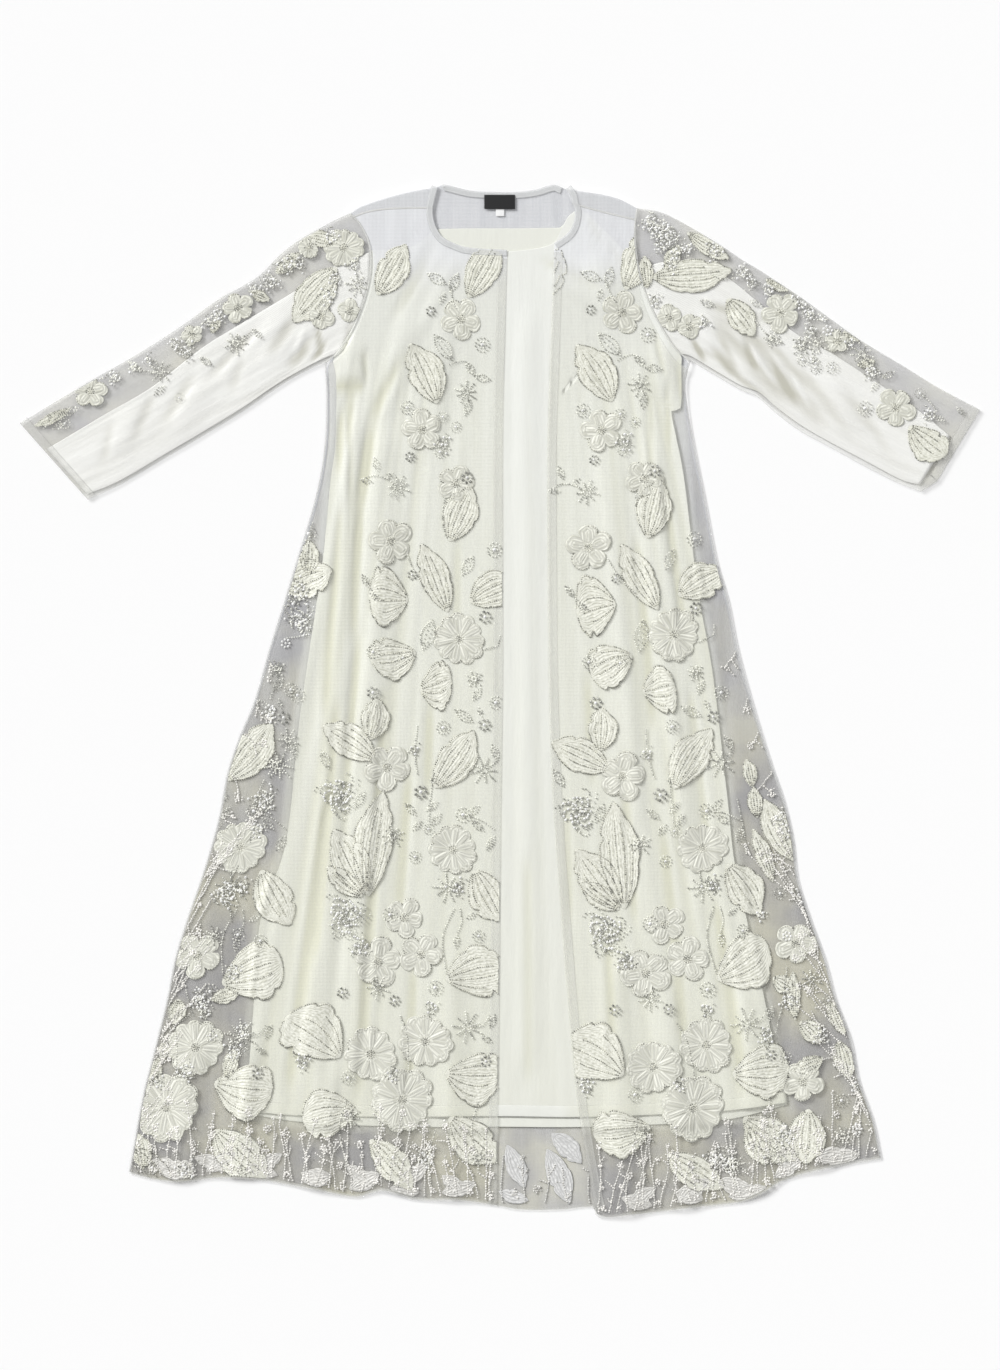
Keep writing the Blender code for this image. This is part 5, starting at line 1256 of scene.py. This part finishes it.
MORE_MOTIFS = {
    "front_left": (
        [(-293, 15, 10, 0), (-367, -328, 10, 0), (-322, -13, 9, 1), (-300, 80, 8, 1)],
        [(-297, -55, 17), (-315, -90, 17), (-367, -475, 19), (-400, -330, 16)],
        [(-280, 152, 20), (-278, 112, 22), (-322, -20, 12), (-329, -139, 20), (-385, -272, 22),
         (-340, -180, 14), (-420, -420, 18), (-440, -520, 16), (-372, -492, 16), (-360, -462, 12),
         (-404, -470, 10), (-372, -380, 14)],
        [],
        [[(-440, -404), (-434, -436), (-451, -453), (-473, -475)], [(-304, 50), (-314, 26), (-322, 1)],
         [(-262, 250), (-268, 220), (-272, 190)], [(-330, -110), (-345, -150), (-350, -200)],
         [(-366, -230), (-380, -260), (-376, -310)]]),
    "front_right": (
        [(392, -270, 9, 0), (440, -300, 9, 0), (402, -330, 8, 1), (460, -420, 9, 0), (478, -560, 10, 0),
         (400, -500, 9, 0), (370, -640, 9, 0), (500, -600, 9, 1)],
        [(436, -390, 16), (480, -610, 16), (330, -650, 16)],
        [(400, -180, 16), (420, -270, 14), (462, -360, 14), (404, -420, 16), (450, -470, 14),
         (400, -610, 18), (300, -640, 16), (500, -540, 12), (372, -470, 14), (396, -160, 12),
         (366, -300, 10)],
        [],
        [[(332, -137), (341, -180), (345, -216)], [(402, -372), (396, -420), (386, -466)]]),
    "sleeve_left": (
        [(-449, 424, 7, 0), (-609, 388, 8, 0), (-330, 590, 8, 0)],
        [(-200, 582, 20), (-476, 461, 19), (-370, 500, 18)],
        [(-322, 585, 16), (-440, 489, 14), (-240, 566, 14), (-205, 610, 12), (-300, 610, 14),
         (-395, 540, 14), (-540, 452, 12), (-236, 650, 14), (-282, 612, 12), (-345, 578, 11),
         (-410, 528, 10), (-455, 500, 12), (-492, 478, 9), (-512, 466, 9), (-232, 590, 12)],
        [(-504, 461, -520, 474), (-378, 497, -366, 510), (-346, 520, -334, 508), (-470, 440, -484, 428),
         (-610, 388, -626, 380), (-590, 410, -610, 402), (-560, 450, -546, 462), (-420, 480, -404, 470)],
        [[(-345, 600), (-320, 610), (-290, 620)], [(-480, 461), (-500, 462), (-520, 474)],
         [(-378, 497), (-360, 505), (-346, 520)], [(-600, 400), (-620, 396), (-640, 380)],
         [(-400, 540), (-420, 525), (-440, 500)]]),
    "sleeve_right": (
        [(424, 477, 9, 0), (442, 466, 9, 0), (465, 466, 9, 0), (511, 409, 11, 0), (588, 430, 8, 0),
         (459, 518, 9, 1)],
        [(423, 496, 15), (442, 500, 15), (507, 485, 19), (380, 507, 14)],
        [(225, 660, 18), (226, 640, 16), (425, 553, 12), (433, 541, 12), (434, 518, 12), (300, 630, 16),
         (340, 600, 14), (520, 460, 14), (600, 400, 12), (240, 610, 12), (210, 668, 16), (240, 650, 16),
         (246, 628, 14), (262, 632, 12), (352, 585, 12), (376, 575, 12), (415, 566, 11), (452, 538, 11),
         (490, 500, 10), (216, 560, 12), (286, 530, 10), (420, 500, 10), (440, 478, 9)],
        [(536, 452, 552, 460), (530, 446, 520, 434), (609, 398, 622, 392), (380, 507, 396, 500),
         (350, 560, 366, 552), (470, 520, 486, 512), (280, 560, 300, 552), (640, 410, 650, 400)],
        [[(507, 485), (522, 470), (540, 450)], [(380, 507), (366, 520), (350, 545)],
         [(588, 430), (600, 420), (612, 404)], [(290, 600), (310, 590), (330, 592)]]),
}
BEAD_KINDS = [("light", LIGHT_GLASS, 4), ("dark", DARK_GLASS, 5), ("crystal", CRYSTAL, 6)]
repeat_motifs = motif_places(ROSETTES, BURSTS, CLUSTERS, BEAD_LEAVES, STEMS)

# Away from the repeat, crystals stand in the place of the dark beads

for name, (surface_height, outline) in PANELS.items():
    light, dark, crystal = motif_places(*MORE_MOTIFS[name])
    for (kind, look, rounds), more, of_repeat in zip(BEAD_KINDS, (light, [], crystal + dark), repeat_motifs):
        groups = [(laid_places(places, REPEATS[name]), radius) for places, radius in of_repeat
                  if name in REPEATS] + more
        if groups:
            spots = np.vstack([places for places, radius in groups])
            radii = np.concatenate([np.full(len(places), radius) for places, radius in groups])
            well_on = depth_inside(*spots.T, outline)[0] > 2.0
            spots, radii = spots[well_on], radii[well_on]
            height = surface_height(*spots.T) + 0.75 * radii
            bead_piece("motif_beads_" + kind + "_" + name, np.column_stack([spots, height]), radii, look,
                       rounds)

# The couched thread: ivory stems of knots with little heads of knots, and a row of grey corded leaves
# along the hem. They are worked close on the net beside and below the satin, between the flowers.

VINE_SIDES = 4
VINE_RADIUS = 0.6
KNOT_STEP = 3.5


def vines_piece(name, paths, surface_height, outline, look):
    """The stems that lie on a panel as one mesh of thin cords. Their kept paths are given back.

    A cord has a ring of r (cos a, sin a) across its path, drawn together at its ends.
    """
    angle = 2 * np.pi * np.arange(VINE_SIDES) / VINE_SIDES
    kept = [path for path in on_panel(paths, outline, 1.5) if len(path) > 3]
    points, faces, first = [], [], 0
    for path in kept:
        run = np.gradient(path, axis=0)
        run /= np.maximum(np.linalg.norm(run, axis=1), 1e-6)[:, None]
        across = np.stack([-run[:, 1], run[:, 0]], axis=1)
        step = np.arange(len(path), dtype=float)
        size = VINE_RADIUS * np.clip(np.minimum(step, step[::-1]), 0.02, 1)[:, None]
        xy = path[:, None] + across[:, None] * (size * np.cos(angle))[:, :, None]
        z = surface_height(xy[..., 0], xy[..., 1]) + 0.5 * VINE_RADIUS + size * np.sin(angle)
        points.append(np.dstack([xy, z]).reshape(-1, 3))
        faces.append(grid_faces(len(path), VINE_SIDES, True, first))
        first += len(path) * VINE_SIDES
    points = np.vstack(points)
    dress(make_piece(name, points, np.vstack(faces), look, flat_uv(points)), "net")
    return kept


def vine_paths(draw, starts, lean, lengths):
    """Stems from given starts: forward s L, sideways b sin(2 pi w s + p), with short twigs on both sides."""
    s = np.linspace(0, 1, 14)
    paths = []
    for (x, y), length in zip(starts, lengths):
        aim = lean + draw.uniform(-0.25, 0.25)
        bow = draw.uniform(0.5, 3)
        sideways = bow * np.sin(2 * np.pi * draw.uniform(0.5, 1.1) * s + draw.uniform(0, 6.3))
        stem = np.stack(turned(length * s, sideways, math.degrees(aim), x, y), axis=1)
        paths.append(stem)
        for share in draw.uniform(0.3, 0.95, 2):
            tilt = math.degrees(aim + draw.choice([-1.0, 1.0]) * draw.uniform(0.5, 1.0))
            twig = np.linspace(0, draw.uniform(8, 18), 5)
            paths.append(np.stack(turned(twig, 0.08 * twig ** 1.5, tilt, *stem[int(share * 13)]), axis=1))
    return paths


def seam_starts(line, low, high, step, draw):
    """Starts spread along a line between two shares of its length, each a little astray."""
    count = max(2, int((high - low) * np.sum(np.linalg.norm(np.diff(line, axis=0), axis=1)) / step))
    return along(line, np.clip(np.linspace(low, high, count) + draw.uniform(-0.004, 0.004, count), 0, 1))


def hem_leaves(draw, hem):
    """Leaves along a hem, leaning one way and the other."""
    rows = []
    for k, (x, y) in enumerate(seam_starts(hem, 0.02, 0.98, 31.0, draw) + (0, 9)):
        rows.append(("leaf", x, y, draw.uniform(40, 58), draw.uniform(20, 28),
                     (20 if k % 2 else 155) + draw.uniform(-18, 25)))
    return rows


def knots_piece(name, draw, paths, heads, surface_height, outline, lift, look):
    """Knots along every path, and a head of knots packed at some places, each of its own size."""
    spots = np.vstack([row_of_beads(path, KNOT_STEP) for path in paths])
    spots = [spots + draw.uniform(-0.55, 0.55, spots.shape)]
    sizes = [draw.uniform(1.1, 1.75, len(spots[0]))]
    for x, y in heads:
        spots.append(cluster_places(draw.uniform(4, 8), draw.uniform(0, 6)) + (x, y))
        sizes.append(draw.uniform(1.1, 2.2, len(spots[-1])))
    spots, sizes = np.vstack(spots), np.concatenate(sizes)
    well_on = depth_inside(*spots.T, outline)[0] > 2.5
    spots = spots[well_on]
    bead_piece(name, np.column_stack([spots, surface_height(*spots.T) + lift]), sizes[well_on], look)


VINE_THREAD = corded_look("ivory_couched_thread", (0.76, 0.75, 0.70), (0.62, 0.61, 0.55), 60.0, 600.0, 0.3)
KNOT_THREAD = bead_look("ivory_thread_knots", (0.85, 0.835, 0.80), 0.5, 0.0, 0.14)
HEM_CORD = corded_look("grey_corded_hem_leaves", (0.84, 0.83, 0.79), (0.56, 0.55, 0.51), 70.0, 240.0, 0.5)
for side, hem_line, seam, inward, seed, turn in (("left", HEM_LEFT, side_left, 0.25, 11, 0.7),
                                                 ("right", HEM_RIGHT, side_right, 2.9, 12, -0.7)):
    draw = np.random.default_rng(seed)
    hem = edge_line(hem_line)
    panel = PANELS["front_" + side]
    leaves_piece("hem_leaves_" + side, hem_leaves(draw, hem), *panel, HEM_CORD)
    starts = seam_starts(hem, 0.01, 0.99, 12.0, draw) + (0, 4)
    paths = vine_paths(draw, starts, math.pi / 2, draw.uniform(45, 115, len(starts)))
    starts = seam_starts(seam, 0.62, 0.97, 17.0, draw)
    paths += vine_paths(draw, starts, inward + turn, draw.uniform(40, 120, len(starts)))
    starts = seam_starts(seam, 0.36, 0.60, 46.0, draw)
    upright = inward - math.pi / 2 * math.cos(inward)
    paths += vine_paths(draw, starts, upright, draw.uniform(20, 44, len(starts)))
    kept = vines_piece("couched_vines_" + side, paths, *panel, VINE_THREAD)
    heads = np.vstack([path[-1:] for path in kept[::3]]
                      + [seam_starts(hem, 0.02, 0.98, 24.0, draw) + (0, up) for up in (12, 40, 72)])
    knots_piece("thread_knots_" + side, draw, kept, heads, *panel, 0.9, KNOT_THREAD)

# The same work on the back of the hem, seen between the two fronts: stems, knots and four pale leaves.
# It lies just above the back net, in darker tints than the same work on the fronts.

DIM_THREAD = corded_look("ivory_thread_behind_net", (0.72, 0.72, 0.70), (0.60, 0.60, 0.57), 60.0, 600.0, 0.3)
DIM_CORD = corded_look("pale_corded_leaves", (0.79, 0.79, 0.78), (0.60, 0.60, 0.59), 70.0, 240.0, 0.4)
DIM_KNOTS = bead_look("ivory_knots_behind", (0.72, 0.71, 0.68), 0.5, 0.0, 0.14)
draw = np.random.default_rng(5)
gap_line = np.array([(-2.0, -704.0), (130.0, -704.0)])
level_back = level(1.0)
gap_panel = (level_back, np.array([(-4, -604), (118, -604), (134, -708), (-4, -706)], float))
leaves_piece("hem_leaves_back", [("leaf", 66, -628, 84, 34, -64), ("leaf", 72, -606, 60, 30, -42),
                                 ("leaf", 10, -622, 66, 28, -70), ("leaf", 40, -700, 44, 20, 165)],
             *gap_panel, DIM_CORD)
starts = seam_starts(gap_line, 0.04, 0.96, 22.0, draw)
kept = vines_piece("couched_vines_back", vine_paths(draw, starts, math.pi / 2, draw.uniform(50, 96, 40)),
                   *gap_panel, DIM_THREAD)
knots_piece("thread_knots_back", draw, kept, [(20, -690), (52, -684), (96, -694), (30, -640)], *gap_panel,
            1.0, DIM_KNOTS)

# The folded edges and seams: a band of doubled net down each front edge, thin felled seams at the
# shoulders, armholes and sides, and turned hems at the cuffs, the net hem and the satin hem.

BAND = 13.0
SEAM_COUNT = 160


def carried(path, profile, surface_height):
    """A closed band: a profile of (across, up) carried along a path, drawn together at both ends.

    across is measured to the path's left and up from the surface below.
    """
    run = np.gradient(path, axis=0)
    run /= np.linalg.norm(run, axis=1)[:, None]
    left = np.stack([-run[:, 1], run[:, 0]], axis=1)
    profile = np.asarray(profile, float)
    middle = profile.mean(axis=0)
    size = np.ones(len(path) + 2)
    size[[0, -1]] = 0.0
    path = np.vstack([path[:1], path, path[-1:]])
    left = np.vstack([left[:1], left, left[-1:]])
    form = middle + (profile - middle)[None] * size[:, None, None]
    xy = path[:, None] + left[:, None] * form[:, :, :1]
    z = surface_height(xy[..., 0], xy[..., 1]) + form[:, :, 1]
    return np.dstack([xy, z])


def oval(low, high, thick, lift, count=12):
    """An oval profile between two places across, standing lift above the surface."""
    angle = 2 * np.pi * np.arange(count) / count
    return np.stack([(low + high) / 2 - (high - low) / 2 * np.cos(angle),
                     lift + thick / 2 + thick / 2 * np.sin(angle)], axis=1)


def band_piece(name, path, profile, surface_height, look, slot="net", *nodes):
    """A band carried along a path, made and fixed."""
    points = carried(path, profile, surface_height)
    length = np.append(0, np.cumsum(np.linalg.norm(np.diff(points.mean(axis=1), axis=0), axis=1)))
    around = np.arange(len(profile)) * 0.7
    places = np.dstack(np.broadcast_arrays(around[None], length[:, None])) * MM
    piece = make_piece(name, points, grid_faces(*points.shape[:2], True), look, places, merge=True)
    dress(piece, slot, *nodes)
    return piece


FOLDED_NET = net_look("tulle_folded_band", (0.86, 0.86, 0.82), (0.80, 0.80, 0.76), 0.08, 0.14)
# The side seams are the felled-seam tulle in a grey painted shade, like the net beside them.
SHADED_SIDE_SEAM_NET = net_look("tulle_side_seam_painted_shade", (0.62, 0.62, 0.61), (0.55, 0.55, 0.54), 0.26, 0.2)
SEAM_NET = net_look("tulle_felled_seam", (0.84, 0.84, 0.81), (0.76, 0.76, 0.73), 0.34, 0.2)
HEM = oval(-2.5, 2.5, 0.9, 0.1, 8)
SEAM = oval(-1.3, 1.3, 0.9, 0.1, 8)
FRONT_FOLD = oval(0.0, BAND, 0.3, 0.25)
CUFF_FOLD = oval(0.0, BAND, 0.5, 0.1, 8)
shares = np.linspace(0, 1, SEAM_COUNT)
edge_left = along(edge_line([(10, 619)] + FRONT_EDGE_LEFT[1:]), shares)[::-1]
band_piece("front_band_left", edge_left, FRONT_FOLD, net_height, FOLDED_NET)
for name, line, profile, surface_height, look in (
        ("front_band_right", edge_line([(75.6, 628)] + FRONT_EDGE_RIGHT[1:]), FRONT_FOLD, net_height,
         FOLDED_NET),
        ("cuff_hem_left", np.array(CUFF_LEFT, float), CUFF_FOLD, sleeve_height, FOLDED_NET),
        ("cuff_hem_right", np.array(CUFF_RIGHT[::-1], float), CUFF_FOLD, sleeve_height, FOLDED_NET),
        ("shoulder_seam_left", edge_line(SHOULDER_SEAM_LEFT), SEAM, net_height, SEAM_NET),
        ("shoulder_seam_right", edge_line(SHOULDER_SEAM_RIGHT), SEAM, net_height, SEAM_NET),
        ("armhole_seam_left", armhole_left, SEAM, net_height, SEAM_NET),
        ("armhole_seam_right", armhole_right, SEAM, net_height, SEAM_NET),
        ("side_seam_left", side_left, SEAM, net_height, SHADED_SIDE_SEAM_NET),
        ("side_seam_right", side_right, SEAM, net_height, SHADED_SIDE_SEAM_NET),
        ("hem_left", edge_line(HEM_LEFT), HEM, net_height, FOLDED_NET),
        ("hem_right", edge_line(HEM_RIGHT), HEM, net_height, FOLDED_NET),
        ("hem_back", edge_line(HEM_BACK), HEM, level_back, FOLDED_NET)):
    band_piece(name, along(line, shares), profile, surface_height, look)
satin_hem = band_piece("satin_hem", along(edge_line(SATIN_HEM_FRONT), shares), oval(0.5, 17.0, 0.5, 0.25),
                       satin_height, SATIN, "satin")
# Painted shade: the band takes more of the satin's painted shade tint away from its middle, like the satin
# beside it.
corner = np.zeros(3 * len(satin_hem.data.vertices))
satin_hem.data.vertices.foreach_get("co", corner)
mark(satin_hem.data, "shade", 0.1 + 0.35 * soft_step((np.abs(corner[::3] / MM - 38) - 40) / 30))

# The neck binding: a bias strip of doubled net folded over the neck edge and stitched down.
# One strip on the back of the neck and one down to each front edge.

NECK_FOLD_LEFT = [(-87, 719), (-92, 701), (-94, 690)]
NECK_FOLD_RIGHT = [(101, 696), (99, 706), (92, 716)]
BINDING_WIDTH = 9.0
BINDING = net_look("net_binding", (0.83, 0.84, 0.84), (0.76, 0.77, 0.77), 0.42, 0.2)
for side, line, thick, lift, surface_height in (
        ("back", [(-82, 720)] + NECK_BACK[1:-1] + [(87, 718)], 0.9, 0.2, level_back),
        ("left", NECK_FOLD_LEFT + NECK_FRONT_LEFT[1:], 0.8, 0.3, net_height),
        ("right", NECK_FRONT_RIGHT + NECK_FOLD_RIGHT[1:], 0.8, 0.3, net_height)):
    band_piece("binding_neck_" + side, along(edge_line(line), shares), oval(-BINDING_WIDTH, 0.0, thick, lift),
               surface_height, BINDING, "binding", "neck_binding_" + side)

# The label and the size tab: a bare black woven tape sewn to the back binding at its ends, and a
# bare white tab folded under its middle.


def tape(name, left, right, low, high, level, bow, look, slot, node):
    """A short tape: flat but for a bow of bow sin(pi u) across it, with its own wall."""
    u, v = np.meshgrid(np.linspace(0, 1, 24), np.linspace(0, 1, 12))
    height = level + bow * np.sin(np.pi * u) * (0.6 + 0.4 * v)
    points = np.dstack([left + (right - left) * u, low + (high - low) * v, height])
    piece = make_piece(name, points, grid_faces(12, 24), look, flat_uv(points))
    give_wall(piece, 0.7)
    edge = piece.modifiers.new("edge", "BEVEL")
    edge.width = 0.2 * MM
    edge.segments = 2
    dress(piece, slot, node)


BLACK_TAPE = woven_look("black_woven_tape", (0.010, 0.010, 0.011), (0.006, 0.006, 0.007), 0.7, 0.0, 0.3,
                        1100.0, 0.3)
WHITE_TAPE = woven_look("white_woven_tape", (0.90, 0.90, 0.90), (0.84, 0.84, 0.84), 0.6, 0.0, 0.3,
                        1100.0, 0.3)
tape("bare_label", -22, 21, 688, 708, 3.1, 0.5, BLACK_TAPE, "label", "neck_label")
tape("bare_size_tab", -6, 6, 678, 694, 1.9, 0.3, WHITE_TAPE, "tab", "size_tab")

# The studio: a plain white floor, one large soft light from the upper left, a weaker one from the
# right, and a camera that looks straight down.

FLOOR_REACH = 6000
FLOOR_LEVEL = -0.3
floor_look, tree, surface = new_look("plain_white_floor")
fill(tree, surface, {"Base Color": (0.92, 0.92, 0.92), "Roughness": 0.9})
corners = [(x * FLOOR_REACH, y * FLOOR_REACH, FLOOR_LEVEL) for x, y in ((-1, -1), (1, -1), (1, 1), (-1, 1))]
floor = make_piece("floor", corners, np.array([[0, 1, 2, 3]]), floor_look)

for name, elevation, azimuth, softness, strength in (("key_light", 35, 140, 20, 3.2),
                                                     ("fill_light", 60, 10, 60, 0.5)):
    lamp = bpy.data.lights.new(name, "SUN")
    lamp.angle = math.radians(softness)
    lamp.energy = strength
    light = bpy.data.objects.new(name, lamp)
    light.rotation_euler = (0.0, math.radians(90 - elevation), math.radians(azimuth))
    bpy.context.scene.collection.objects.link(light)

world = bpy.data.worlds.new("soft_room")
world.use_nodes = True
sky = world.node_tree.nodes["Background"].inputs
fill(world.node_tree, sky, {"Color": (1.0, 1.0, 1.0), "Strength": 0.34})
bpy.context.scene.world = world
bpy.context.scene.view_settings.view_transform = "Standard"
bpy.context.scene.view_settings.look = "None"

FRAME_SIZE = 1.918
FRAME_MIDDLE = 0.0217
lens = bpy.data.cameras.new("camera")
lens.type = "ORTHO"
lens.ortho_scale = FRAME_SIZE
lens.clip_end = 20.0
camera = bpy.data.objects.new("camera", lens)
camera.location = (0.0, FRAME_MIDDLE, 4.0)
bpy.context.scene.collection.objects.link(camera)
bpy.context.scene.camera = camera
